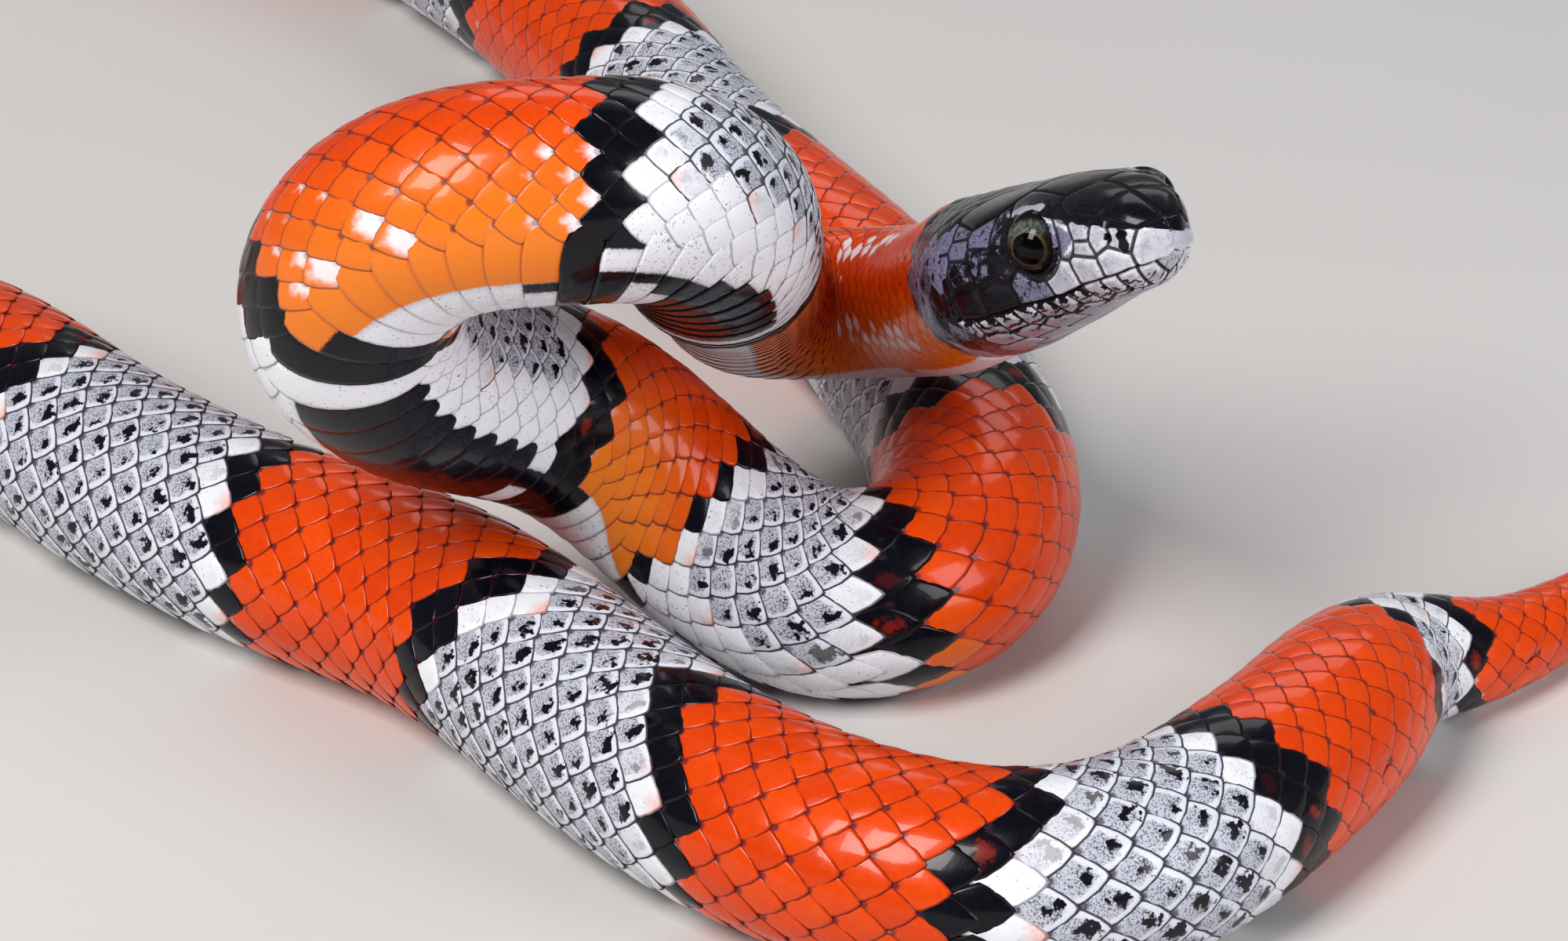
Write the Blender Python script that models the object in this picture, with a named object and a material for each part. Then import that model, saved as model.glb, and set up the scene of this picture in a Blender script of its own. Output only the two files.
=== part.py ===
# A milk snake, life size, at rest: the fore body raised in a loop, the rest lying on the floor.
# The body is one long tube along a smooth line, parted by thin cuts into head, neck, trunk and tail.
# Sizes are in millimetres and go through metres() when the shapes are made.
# The origin is on the floor, under the middle of the model. +Z is up.

import math

import bmesh
import bpy
import numpy as np
from mathutils import Vector

# driving dimensions
headLength = 31.5
bellyDrop = 0.96  # depth of the belly below the body's line, as a share of its radius
restHeight = 0.9  # height of a lying body's line above the floor, as a share of its radius
cut = 0.3  # width of the cuts between nodes
eyeRadius = 2.45
eyeSide = 4.75  # from the head's middle plane to the eye's centre
eyeForward = 20.0  # from the back of the head
eyeRise = 1.75
socketGap = 0.3
ventAt = 744.0  # distance of the vent behind the head, along the body
neckEnd = 36.0
neckTurn = 9.0  # over this distance the sections turn from the head's direction to the line's
touchStart = 156.0  # here the body begins to settle on the floor,
raisedEnd = 172.0  # and from here tailward it lies on it
relaxedOver = 6  # samples on each side over which a bend is relaxed
raisedLengths = 4
lyingLengths = 12
tailLengths = 2

raisedStep = 2.8  # longest distance between two rings of the raised body
lyingStep = 6.0
ringPoints = 18
headPoints = 26

# The head: its back in space, its axes, and its sections as
# (distance from the back, half width, rise, depth).
floorMiddle = Vector((-24.8, 50.7, 0.0))
headBack = Vector((16.3, -1.4, 33.8)) - floorMiddle
headForward = Vector((0.386, -0.742, 0.549)).normalized()
headTop = Vector((-0.366, 0.423, 0.829))
headSections = (
    (0.0, 7.1, 6.5, 6.3),
    (2.6, 8.0, 6.4, 6.6),
    (5.8, 8.7, 6.2, 6.6),
    (9.6, 8.6, 6.05, 6.4),
    (14.2, 7.6, 5.9, 6.0),
    (18.4, 6.6, 5.6, 5.5),
    (22.2, 5.7, 5.0, 5.05),
    (26.0, 4.8, 4.05, 4.9),
    (31.5, 3.5, 2.6, 4.8),
)
noseStart = 25.2  # from here the sections close in a rounded snout
noseDrop = 0.9
flatCrown = 2.5  # power of the curve across the crown; 2 is an ellipse
roundChin = 2.2

# The body's line behind the head. Each raised point is (x, y, z, tilt x, tilt y), where the back
# faces along (tilt x, tilt y, 1). Each lying point is (x, y), and its height follows the girth.
raisedLine = (
    (14.4, 4.2, 29.3, -0.25, 0.42),
    (12.6, 9.6, 25.8, 0.0, 0.4),
    (9.8, 14.4, 23.0, 0.1, 0.38),
    (4.4, 16.7, 21.6, 0.2, 0.4),
    (-1.2, 14.6, 22.8, 0.25, 0.42),
    (-3.7, 9.4, 26.8, 0.28, 0.42),
    (-4.0, 3.6, 31.8, 0.28, 0.45),
    (-4.7, -3.4, 36.8, 0.25, 0.5),
    (-5.3, -10.8, 41.9, 0.15, 0.7),
    (-6.1, -16.4, 47.1, 0.05, 1.0),
    (-9.9, -20.6, 51.3, 0.0, 1.2),
    (-15.4, -22.9, 52.3, 0.0, 1.25),
    (-21.2, -23.3, 52.3, 0.0, 1.25),
    (-26.8, -22.8, 50.7, 0.0, 1.25),
    (-31.3, -21.5, 46.6, 0.0, 1.25),
    (-33.0, -19.2, 39.9, 0.0, 1.25),
    (-30.0, -15.7, 33.5, 0.0, 1.25),
    (-24.6, -10.4, 28.6, 0.0, 1.2),
    (-18.9, -6.0, 24.6, 0.0, 1.0),
    (-13.3, -3.9, 19.5, 0.0, 0.7),
    (-7.6, -4.7, 14.0, 0.0, 0.3),
    (-1.6, -6.6, 9.6, 0.0, 0.1),
)
lyingLine = (
    (5.2, -7.9),
    (11.8, -4.8),
    (15.4, 2.6),
    (16.0, 12.5),
    (13.8, 24.0),
    (10.0, 35.5),
    (4.6, 47.0),
    (-2.5, 60.0),
    (-9.7, 74.8),
    (-16.2, 91.8),
    (-27.0, 112.0),
    (-44.4, 134.0),
    (-73.5, 150.5),
    (-108.5, 148.8),
    (-138.2, 127.8),
    (-151.4, 94.5),
    (-141.8, 63.0),
    (-117.2, 46.4),
    (-91.0, 39.4),
    (-71.0, 29.2),
    (-59.8, 16.5),
    (-48.8, 5.6),
    (-38.5, -2.4),
    (-27.7, -9.8),
    (-18.1, -21.4),
    (-9.7, -32.2),
    (-0.9, -40.7),
    (8.8, -46.3),
    (19.3, -47.8),
    (28.2, -43.6),
    (36.0, -34.7),
    (43.2, -23.8),
    (48.6, -13.9),
    (54.4, -10.9),
    (59.6, -7.3),
    (65.0, -1.8),
    (73.0, 4.2),
    (84.0, 6.4),
    (95.0, 1.6),
    (103.4, -9.0),
    (108.2, -24.0),
    (109.2, -42.0),
    (105.9, -59.5),
)
# The girth, as (distance behind the head, radius)
girth = (
    (0.0, 6.9),
    (16.0, 6.5),
    (32.0, 6.6),
    (50.0, 7.7),
    (74.0, 8.75),
    (660.0, 8.9),
    (708.0, 8.5),
    (741.0, 7.6),
    (751.0, 6.1),
    (759.0, 4.5),
    (766.0, 3.6),
    (773.0, 3.1),
    (787.0, 2.75),
    (870.0, 0.5),
)
girthBlend = 6.0  # distance over which the girth's slopes run into each other

colours = {
    "head": (0.05, 0.05, 0.07),
    "eye": (0.01, 0.01, 0.01),
    "orange": (0.72, 0.12, 0.03),
    "grey": (0.55, 0.55, 0.58),
    "black": (0.02, 0.02, 0.03),
}


def metres(point):
    return Vector(point) * 0.001


def smoothLine(points, perSpan=24):
    """A curve through the points with no sudden change of bend: a natural cubic spline."""
    points = np.asarray(points, float)
    steps = np.sqrt(np.linalg.norm(np.diff(points[:, :3], axis=0), axis=1))
    count = len(points)
    system = np.eye(count)
    bends = np.zeros_like(points)
    for i in range(1, count - 1):
        before, after = steps[i - 1], steps[i]
        system[i, i - 1 : i + 2] = before, 2 * (before + after), after
        bends[i] = 6 * ((points[i + 1] - points[i]) / after - (points[i] - points[i - 1]) / before)
    bends = np.linalg.solve(system, bends)
    curve = []
    for i, step in enumerate(steps):
        done = np.linspace(0, step, perSpan, endpoint=False)[:, None]
        left = step - done
        curve.append(
            (bends[i] * left**3 + bends[i + 1] * done**3) / (6 * step)
            + (points[i] / step - bends[i] * step / 6) * left
            + (points[i + 1] / step - bends[i + 1] * step / 6) * done
        )
    return np.vstack(curve + [points[-1:]])


def along(samples):
    """The distance run at each sample."""
    steps = np.linalg.norm(np.diff(samples[:, :3], axis=0), axis=1)
    return np.concatenate([[0.0], np.cumsum(steps)])


def eased(samples):
    """The same curve with samples a millimetre apart and its tightest bends relaxed."""
    run = along(samples)
    count = int(run[-1]) + 1
    even = np.linspace(0, run[-1], count)
    samples = np.stack([np.interp(even, run, column) for column in samples.T], axis=1)
    weights = np.hanning(2 * relaxedOver + 3)[1:-1]
    padded = np.pad(samples, ((relaxedOver, relaxedOver), (0, 0)), "reflect", reflect_type="odd")
    columns = [np.convolve(column, weights / weights.sum(), "valid") for column in padded.T]
    return np.stack(columns, axis=1)


def smoothTable(table, at, blend):
    """The table's second column at each distance, with its corners rounded off."""
    table = np.asarray(table, float)
    offsets = np.linspace(-blend, blend, 13)
    weights = 1.001 - (offsets / blend) ** 2
    reads = [np.interp(np.asarray(at) + offset, table[:, 0], table[:, 1]) for offset in offsets]
    return np.average(reads, axis=0, weights=weights)


class Body:
    """The body's line, with its distance, radius and back direction at every sample."""

    def __init__(self):
        middle = np.array(floorMiddle)
        lead = 6.0  # the curve starts inside the head, along its axis
        back = np.array([headTop.x, headTop.y]) / headTop.z
        rows = [[*(headBack + headForward * lead), *back], [*headBack, *back]]
        rows += [[x - middle[0], y - middle[1], z, tiltX, tiltY] for x, y, z, tiltX, tiltY in raisedLine]
        height = restHeight * girth[5][1]
        rows += [[x - middle[0], y - middle[1], height, 0.0, 0.0] for x, y in lyingLine]
        perSpan = 24
        samples = eased(smoothLine(rows, perSpan)[perSpan:])
        self.distance = along(samples)
        self.radius = smoothTable(girth, self.distance, girthBlend)
        lying = np.clip((self.distance - touchStart) / (raisedEnd - touchStart), 0.0, 1.0)
        lying = lying**2 * (3 - 2 * lying)
        samples[:, 2] += lying * (restHeight * self.radius - samples[:, 2])
        samples[:, 3:] *= 1 - lying[:, None]
        self.place = samples[:, :3]
        self.tilt = samples[:, 3:]
        self.distance = along(samples)
        self.length = self.distance[-1]

    def read(self, values, at):
        return np.array([np.interp(at, self.distance, column) for column in values.T])

    def ring(self, at, count=ringPoints):
        """The points of the body's cross section at this distance, from the back round by the left."""
        centre = Vector(self.read(self.place, at))
        reach = 1.0
        ahead = self.read(self.place, max(at - reach, 0.0))
        behind = self.read(self.place, min(at + reach, self.length))
        tailward = Vector(behind - ahead).normalized()
        tailward = tailward.lerp(-headForward, max(1.0 - at / neckTurn, 0.0)).normalized()
        top = Vector((*self.read(self.tilt, at), 1.0))
        top = (top - tailward * top.dot(tailward)).normalized()
        left = tailward.cross(top)
        radius = float(np.interp(at, self.distance, self.radius))
        points = []
        for step in range(count):
            turn = 2 * math.pi * step / count
            rise = math.cos(turn) * radius * (0.98 if math.cos(turn) > 0 else bellyDrop)
            point = centre + left * (math.sin(turn) * radius) + top * rise
            point.z = max(point.z, 0.0)  # the belly is flat where it rests on the floor
            points.append(point)
        return points


def powered(value, power):
    return math.copysign(abs(value) ** (2 / power), value)


def headRing(at, count=headPoints):
    """The points of the head's cross section at this distance before its back."""
    columns = np.asarray(headSections)
    halfWidth, rise, depth = [float(np.interp(at, columns[:, 0], column)) for column in columns.T[1:]]
    closing = max(at - noseStart, 0.0) / (headLength - noseStart)
    shut = math.sqrt(max(1.0 - closing**2, 0.0))
    left = headTop.cross(headForward).normalized()
    top = headForward.cross(left)
    centre = headBack + headForward * at - top * (noseDrop * (1 - shut))
    points = []
    for step in range(count):
        turn = 2 * math.pi * step / count
        power = flatCrown if math.cos(turn) > 0 else roundChin
        side = powered(math.sin(turn), power) * halfWidth * shut
        up = powered(math.cos(turn), power) * (rise if math.cos(turn) > 0 else depth) * shut
        points.append(centre + left * side + top * up)
    return points


def loft(name, rings, colour, tip=None):
    """A closed solid through the rings, with flat ends, or a last ring that closes on a tip."""
    mesh = bmesh.new()
    rows = [[mesh.verts.new(metres(point)) for point in ring] for ring in rings]
    count = len(rows[0])
    for first, second in zip(rows, rows[1:]):
        for i in range(count):
            j = (i + 1) % count
            mesh.faces.new((first[i], second[i], second[j], first[j]))
    ends = [(rows[0], sum(rings[0], Vector()) / count), (rows[-1], tip or sum(rings[-1], Vector()) / count)]
    for row, middle in ends:
        centre = mesh.verts.new(metres(middle))
        for i in range(count):
            mesh.faces.new((row[i], row[(i + 1) % count], centre))
    bmesh.ops.recalc_face_normals(mesh, faces=mesh.faces)
    return addObject(name, mesh, colour)


def addObject(name, mesh, colour):
    data = bpy.data.meshes.new(name)
    mesh.to_mesh(data)
    mesh.free()
    data.shade_smooth()
    data.set_sharp_from_angle(angle=math.radians(40))
    obj = bpy.data.objects.new(name, data)
    data.materials.append(finish(name, colour))
    nodes.objects.link(obj)
    return obj


def finish(name, colour):
    material = bpy.data.materials.new(name)
    material.use_nodes = True
    shader = material.node_tree.nodes["Principled BSDF"]
    shader.inputs["Base Color"].default_value = (*colours[colour], 1.0)
    shader.inputs["Roughness"].default_value = 0.12 if colour == "eye" else 0.4
    shader.inputs["Metallic"].default_value = 0.0
    return material


def eyeCentre(side):
    left = headTop.cross(headForward).normalized()
    top = headForward.cross(left)
    return headBack + headForward * eyeForward + left * (side * eyeSide) + top * eyeRise


def ball(radius, centre, segments, rings):
    mesh = bmesh.new()
    bmesh.ops.create_uvsphere(mesh, u_segments=segments, v_segments=rings, radius=radius * 0.001)
    bmesh.ops.translate(mesh, verts=mesh.verts, vec=metres(centre))
    return mesh


def addHead():
    slope = np.linspace(0.1, 0.47 * math.pi, 7)
    stations = list(np.linspace(cut / 2, noseStart, 13))
    stations += [noseStart + (headLength - noseStart) * math.sin(angle) for angle in slope]
    rings = [headRing(at) for at in stations]
    tip = sum(headRing(headLength), Vector()) / headPoints
    head = loft("head", rings, "head", tip)
    for side, word in ((1, "left"), (-1, "right")):
        centre = eyeCentre(side)
        cutter = addObject("socket_" + word, ball(eyeRadius + socketGap, centre, 18, 12), "head")
        nodes.objects.unlink(cutter)
        cutters.objects.link(cutter)
        cutter.hide_render = True
        cutter.display_type = "WIRE"
        socket = head.modifiers.new("socket " + word, "BOOLEAN")
        socket.object = cutter
        socket.operation = "DIFFERENCE"
        addObject("eye_" + word, ball(eyeRadius, centre, 18, 12), "eye")


def addLength(name, start, end, step, colour):
    """One length of the body between two cuts."""
    tip = None
    first = start + cut / 2
    last = end - cut / 2
    if end >= body.length:
        last = body.length - 0.4
        tip = Vector(body.read(body.place, body.length))
    count = max(2, math.ceil((last - first) / step) + 1)
    loft(name, [body.ring(at) for at in np.linspace(first, last, count)], colour, tip)


def addLengths(word, start, end, count, step, number=1):
    edges = np.linspace(start, end, count + 1)
    shades = ("orange", "grey")
    for i in range(count):
        label = f"{word}_{number + i:02d}"
        addLength(label, edges[i], edges[i + 1], step, shades[i % 2])


for old in list(bpy.data.objects):
    bpy.data.objects.remove(old)
nodes = bpy.data.collections.new("milk snake")
cutters = bpy.data.collections.new("cutters")
bpy.context.scene.collection.children.link(nodes)
bpy.context.scene.collection.children.link(cutters)

body = Body()
addHead()
addLength("neck", 0.0, neckEnd, raisedStep, "orange")
addLengths("trunk", neckEnd, raisedEnd, raisedLengths, raisedStep)
addLengths("trunk", raisedEnd, ventAt, lyingLengths, lyingStep, raisedLengths + 1)
addLengths("tail", ventAt, body.length, tailLengths, lyingStep)
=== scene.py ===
import math
from types import SimpleNamespace

import bmesh
import bpy
import numpy as np
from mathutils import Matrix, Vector


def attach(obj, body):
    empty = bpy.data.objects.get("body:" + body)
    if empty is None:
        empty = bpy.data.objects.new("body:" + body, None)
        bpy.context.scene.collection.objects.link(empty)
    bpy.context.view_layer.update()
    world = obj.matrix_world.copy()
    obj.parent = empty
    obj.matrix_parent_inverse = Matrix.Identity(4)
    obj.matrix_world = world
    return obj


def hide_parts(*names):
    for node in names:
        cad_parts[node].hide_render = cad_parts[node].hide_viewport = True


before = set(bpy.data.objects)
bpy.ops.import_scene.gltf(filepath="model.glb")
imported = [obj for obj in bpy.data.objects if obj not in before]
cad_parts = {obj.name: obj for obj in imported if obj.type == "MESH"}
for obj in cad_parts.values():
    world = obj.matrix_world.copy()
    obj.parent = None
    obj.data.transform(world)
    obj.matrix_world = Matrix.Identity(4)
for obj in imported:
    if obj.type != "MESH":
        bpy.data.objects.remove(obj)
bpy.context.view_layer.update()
scene = bpy.context.scene
toMetres = 0.001

bodyForm = {
    "floorMiddle": (-24.8, 50.7, 0.0),
    "headLength": 31.5,
    "headBack": (16.3, -1.4, 33.8),
    "headForward": (0.386, -0.742, 0.549),  # this and the next come from a program that fitted the head to the photo
    "headTop": (-0.366, 0.423, 0.829),
    "bellyDrop": 0.96,
    "backRise": 0.98,
    "restHeight": 0.9,
    "restRadius": 8.9,
    "neckTurn": 9.0,
    "touchStart": 156.0,
    "raisedEnd": 172.0,
    "relaxedOver": 6,
    "girthBlend": 6.0,
    "headBlend": 2.0,
    "squareCrown": 0.2,  # how square the head's section is above and below
    "squareChin": 0.09,
    "squareOver": 9.0,
    "coatOnHead": 10.0,  # how far the line is carried on into the head
    "lineStep": 0.05,
}
headSections = (  # distance from the head's back, half width, rise, depth
    (0, 7.1, 6.5, 6.3), (2.6, 8.0, 6.4, 6.6), (5.8, 8.7, 6.2, 6.6), (9.6, 8.6, 6.05, 6.4), (14.2, 7.6, 5.9, 6.0),
    (18.4, 6.6, 5.6, 5.5), (22.2, 5.7, 5.0, 5.05), (26.0, 4.8, 4.05, 4.9), (31.5, 3.5, 2.6, 4.8),
)
# The line's points, as in part.py. They were picked in the photo, or guessed where it shows nothing. A
# separate program turned the picks into millimetres, and more than half of the points were then moved.
raisedLine = (  # x, y, z and the way the back leans
    (14.4, 4.2, 29.3, -0.25, 0.42), (12.6, 9.6, 25.8, 0.0, 0.4), (9.8, 14.4, 23.0, 0.1, 0.38),
    (4.4, 16.7, 21.6, 0.2, 0.4), (-1.2, 14.6, 22.8, 0.25, 0.42), (-3.7, 9.4, 26.8, 0.28, 0.42),
    (-4.0, 3.6, 31.8, 0.28, 0.45), (-4.7, -3.4, 36.8, 0.25, 0.5), (-5.3, -10.8, 41.9, 0.15, 0.7),
    (-6.1, -16.4, 47.1, 0.05, 1.0), (-9.9, -20.6, 51.3, 0.0, 1.2), (-15.4, -22.9, 52.3, 0.0, 1.25),
    (-21.2, -23.3, 52.3, 0.0, 1.25), (-26.8, -22.8, 50.7, 0.0, 1.25), (-31.3, -21.5, 46.6, 0.0, 1.25),
    (-33.0, -19.2, 39.9, 0.0, 1.25), (-30.0, -15.7, 33.5, 0.0, 1.25), (-24.6, -10.4, 28.6, 0.0, 1.2),
    (-18.9, -6.0, 24.6, 0.0, 1.0), (-13.3, -3.9, 19.5, 0.0, 0.7), (-7.6, -4.7, 14.0, 0.0, 0.3),
    (-1.6, -6.6, 9.6, 0.0, 0.1),
)
lyingLine = (
    (5.2, -7.9), (11.8, -4.8), (15.4, 2.6), (16.0, 12.5), (13.8, 24.0), (10.0, 35.5), (4.6, 47.0), (-2.5, 60.0),
    (-9.7, 74.8), (-16.2, 91.8), (-27.0, 112.0), (-44.4, 134.0), (-73.5, 150.5), (-108.5, 148.8), (-138.2, 127.8),
    (-151.4, 94.5), (-141.8, 63.0), (-117.2, 46.4), (-91.0, 39.4), (-71.0, 29.2), (-59.8, 16.5), (-48.8, 5.6),
    (-38.5, -2.4), (-27.7, -9.8), (-18.1, -21.4), (-9.7, -32.2), (-0.9, -40.7), (8.8, -46.3), (19.3, -47.8),
    (28.2, -43.6), (36.0, -34.7), (43.2, -23.8), (48.6, -13.9), (54.4, -10.9), (59.6, -7.3), (65.0, -1.8),
    (73.0, 4.2), (84.0, 6.4), (95.0, 1.6), (103.4, -9.0), (108.2, -24.0), (109.2, -42.0), (105.9, -59.5),
)
girth = (  # distance behind the head, radius
    (0, 6.9), (16, 6.5), (32, 6.6), (50, 7.7), (74, 8.75), (660, 8.9), (708, 8.5), (741, 7.6), (751, 6.1),
    (759, 4.5), (766, 3.6), (773, 3.1), (787, 2.75), (870, 0.5),
)


def unit(rows):
    rows = np.asarray(rows, float)
    return rows / np.linalg.norm(rows, axis=-1, keepdims=True)


def smoothLine(points, perSpan=24):  # natural cubic curve through the points
    points = np.asarray(points, float)
    steps = np.sqrt(np.linalg.norm(np.diff(points[:, :3], axis=0), axis=1))
    count = len(points)
    system, bends = np.eye(count), np.zeros_like(points)
    for i in range(1, count - 1):
        before, after = steps[i - 1], steps[i]
        system[i, i - 1 : i + 2] = before, 2 * (before + after), after
        bends[i] = 6 * ((points[i + 1] - points[i]) / after - (points[i] - points[i - 1]) / before)
    bends = np.linalg.solve(system, bends)
    curve = []
    for i, step in enumerate(steps):
        done = np.linspace(0, step, perSpan, endpoint=False)[:, None]
        left = step - done
        curve.append(
            (bends[i] * left**3 + bends[i + 1] * done**3) / (6 * step)
            + (points[i] / step - bends[i] * step / 6) * left
            + (points[i + 1] / step - bends[i + 1] * step / 6) * done
        )
    return np.vstack(curve + [points[-1:]])


def along(samples):
    return np.concatenate([[0.0], np.cumsum(np.linalg.norm(np.diff(samples[:, :3], axis=0), axis=1))])


def softened(columns, reach):  # each column averaged over this many samples on both sides, its ends kept
    weights = np.hanning(2 * reach + 3)[1:-1]
    padded = np.pad(columns, ((reach, reach), (0, 0)), "reflect", reflect_type="odd")
    return np.stack([np.convolve(column, weights / weights.sum(), "valid") for column in padded.T], axis=1)


def eased(samples, reach):
    run = along(samples)
    even = np.linspace(0, run[-1], int(run[-1]) + 1)
    return softened(np.stack([np.interp(even, run, column) for column in samples.T], axis=1), reach)


def smoothTable(table, at, blend, column=1):
    table = np.asarray(table, float)
    offsets = np.linspace(-blend, blend, 13)
    reads = [np.interp(np.asarray(at) + offset, table[:, 0], table[:, column]) for offset in offsets]
    return np.average(reads, axis=0, weights=1.001 - (offsets / blend) ** 2)


def smoothStep(low, high, value):
    share = np.clip((np.asarray(value, float) - low) / (high - low), 0.0, 1.0)
    return share * share * (3 - 2 * share)


def headSizes(ahead):  # half width, rise and depth
    return [smoothTable(headSections, ahead, bodyForm["headBlend"], column) for column in (1, 2, 3)]


def squareness(ahead):  # powers for the upper and the lower half of the head's section
    full = smoothStep(0, bodyForm["squareOver"], ahead)
    return 1 - bodyForm["squareCrown"] * full, 1 - bodyForm["squareChin"] * full


floorMiddle = np.array(bodyForm["floorMiddle"])
headBack = np.array(bodyForm["headBack"]) - floorMiddle
headForward = unit(bodyForm["headForward"])
headLeft = unit(np.cross(bodyForm["headTop"], headForward))
headUp = np.cross(headForward, headLeft)
headLength = bodyForm["headLength"]


def makeLine(form):  # the body's distance, place, left, top, girth and squareness at every lineStep
    lean = np.array(form["headTop"][:2]) / form["headTop"][2]
    rows = [[*(headBack + headForward * 6.0), *lean], [*headBack, *lean]]
    rows += [[x - floorMiddle[0], y - floorMiddle[1], z, a, b] for x, y, z, a, b in raisedLine]
    height = form["restHeight"] * form["restRadius"]
    rows += [[x - floorMiddle[0], y - floorMiddle[1], height, 0, 0] for x, y in lyingLine]
    samples = eased(smoothLine(rows)[24:], form["relaxedOver"])
    distance = along(samples)
    radius = smoothTable(girth, distance, form["girthBlend"])
    lying = smoothStep(form["touchStart"], form["raisedEnd"], distance)
    samples[:, 2] += lying * (form["restHeight"] * radius - samples[:, 2])
    samples[:, 3:] *= 1 - lying[:, None]
    distance = along(samples)

    def read(columns, at):
        return np.stack([np.interp(at, distance, column) for column in columns.T], axis=1)

    after, before = np.minimum(distance + 1, distance[-1]), np.maximum(distance - 1, 0)
    tailward = unit(read(samples[:, :3], after) - read(samples[:, :3], before))
    turned = np.maximum(1 - distance / form["neckTurn"], 0)[:, None]
    tailward = unit(tailward * (1 - turned) - headForward * turned)
    top = np.column_stack([samples[:, 3:], np.ones(len(samples))])
    top = unit(top - tailward * (top * tailward).sum(1, keepdims=True))
    left = np.cross(tailward, top)
    fine = np.arange(-form["coatOnHead"], distance[-1] + 1e-6, form["lineStep"])
    behind, ahead = np.maximum(fine, 0), np.maximum(-fine, 0)
    table = read(np.hstack([samples[:, :3], left, top]), behind)
    table[:, :3] += ahead[:, None] * headForward
    table = np.where((fine > 1)[:, None], softened(table, 24), table)
    thick = np.interp(behind, distance, radius)
    body = np.column_stack([thick, thick * form["backRise"], thick * form["bellyDrop"]])
    sizes = np.where((fine < 0)[:, None], np.column_stack(headSizes(ahead)), body)
    return {
        "distance": fine,
        "place": table[:, :3],
        "left": unit(table[:, 3:6]),
        "top": unit(table[:, 6:9]),
        "girth": softened(sizes, 40),
        "square": np.column_stack([*squareness(ahead), 0 * ahead]),
        "length": float(distance[-1]),
    }


line = makeLine(bodyForm)
bodyLength = line["length"]
print("body line", round(bodyLength, 1), "mm")


def powered(value, power):
    return np.sign(value) * np.abs(value) ** power


# Places on the body: at along its line, turn round it from the back by the left, lift above the CAD's surface
def onBody(at, turn, lift=0.0):
    at, turn, lift = np.broadcast_arrays(np.asarray(at, float), turn, lift)
    index = np.rint((at - line["distance"][0]) / bodyForm["lineStep"]).astype(int).clip(0, len(line["distance"]) - 1)
    sizes, square = line["girth"][index], line["square"][index]
    sine, cosine = np.sin(turn), np.cos(turn)
    power = np.where(cosine > 0, square[..., 0], square[..., 1])
    rise = np.where(cosine > 0, sizes[..., 1], sizes[..., 2]) + lift
    place = line["place"][index] + line["left"][index] * (powered(sine, power) * (sizes[..., 0] + lift))[..., None]
    place = place + line["top"][index] * (powered(cosine, power) * rise)[..., None]
    place[..., 2] = np.maximum(place[..., 2], -lift)
    return place


# The markings are orange, black and grey rings, with black patches on a pale belly. Each black ring here goes
# from and to along the back, then from and to low on the flank.
loopRings = [
    (56.5, 60.5, 57, 61), (80.0, 83.8, 83.5, 86.0), (104.2, 107.2, 104.5, 107.6), (130, 133.5, 131, 136),
    (149.8, 151.6, 149.8, 151.4), (167.6, 169.6, 167.5, 169.5),
]
hiddenCycle = {"start": 169.6, "end": 573.0, "count": 8, "orange": 22.0, "black": 4.2, "grey": 19.6, "seed": 5}
frontRings = [
    (596.3, 599.6, 594.4, 597.6), (623.6, 627.3, 626.6, 628.8), (651.3, 655.5, 648.7, 651.4),
    (673.2, 677.4, 680, 681.8), (702.6, 706.1, 698.8, 702), (720.4, 723.9, 721.1, 725.8),
    (747, 749, 745.2, 747), (755, 757.4, 756, 758.2),
]
tailRings = {"starts": (779, 787, 807, 814, 832, 839, 856, 861), "wide": 2}
markingForm = {
    "seed": 3,
    "waves": 0.5,  # how far a ring's border wanders
    "stray": 0.35,  # and a single scale from it
    "calm": 0.6,  # the share of both on the neck and loop
    "loop": (60, 130),
    "slant": (0.35, 1.9),  # the turn from the back over which a ring goes from its upper to its lower place
    "frontSlant": (0.1, 1.3),
    "frontFrom": 580,
    "bellyFrom": 136,  # degrees from the back
    "bellyBare": 27,  # degrees from the middle of the belly
    "bellyRing": (20, 46),  # where rings grow wider
    "bellyClear": (4.4, 4.0),  # white between a ring and the next patch
    "bellyTwist": ((60, 80, 92, 112, 130), (0, -10, -17, -17, 0)),  # distance, degrees
    "bellyPatch": ((64, 70, 75, 78, 108), (48, 45, 35, 24, 40)),
    "raisedTo": (165, 172),
    "paleFrom": 128,
    "paleHigher": 27,  # on the raised part
    "besideRing": (1.0, 2.4),
    "rootReach": (10, 5),  # of pale roots beside a ring, partly pale skin and partly painted highlight, on the loop and elsewhere
    "rootShare": (0.56, 0.3),
    "rootDegrees": (60, 92),
    # rosy patches: pink on the neck, and on the loop pale scale centres that are partly painted highlight
    "rosyAndGlint": (  # from, to, degrees from, to, the scales left out
        (5, 24, 100, 121, -0.6), (12, 25, 30, 56, -0.2), (95.5, 101.5, 98, 136, -0.5),
    ),
}


def allRings(cycle):
    chance = np.random.RandomState(cycle["seed"])
    found = list(loopRings)
    pitch = (cycle["end"] - cycle["start"]) / cycle["count"]
    for i in range(cycle["count"]):
        first = cycle["start"] + pitch * i + cycle["orange"] + chance.uniform(-1.2, 1.2)
        second = first + cycle["black"] + cycle["grey"] + chance.uniform(-1.0, 1.0)
        for start in (first, second):
            slant = chance.uniform(-1.5, 1.5)
            wide = cycle["black"] * chance.uniform(0.85, 1.1)
            found.append((start, start + wide, start + slant, start + slant + wide * 0.7))
    found += frontRings
    found += [(start, start + tailRings["wide"]) * 2 for start in tailRings["starts"]]
    return np.array(found)


ringTable = allRings(hiddenCycle)


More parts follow.
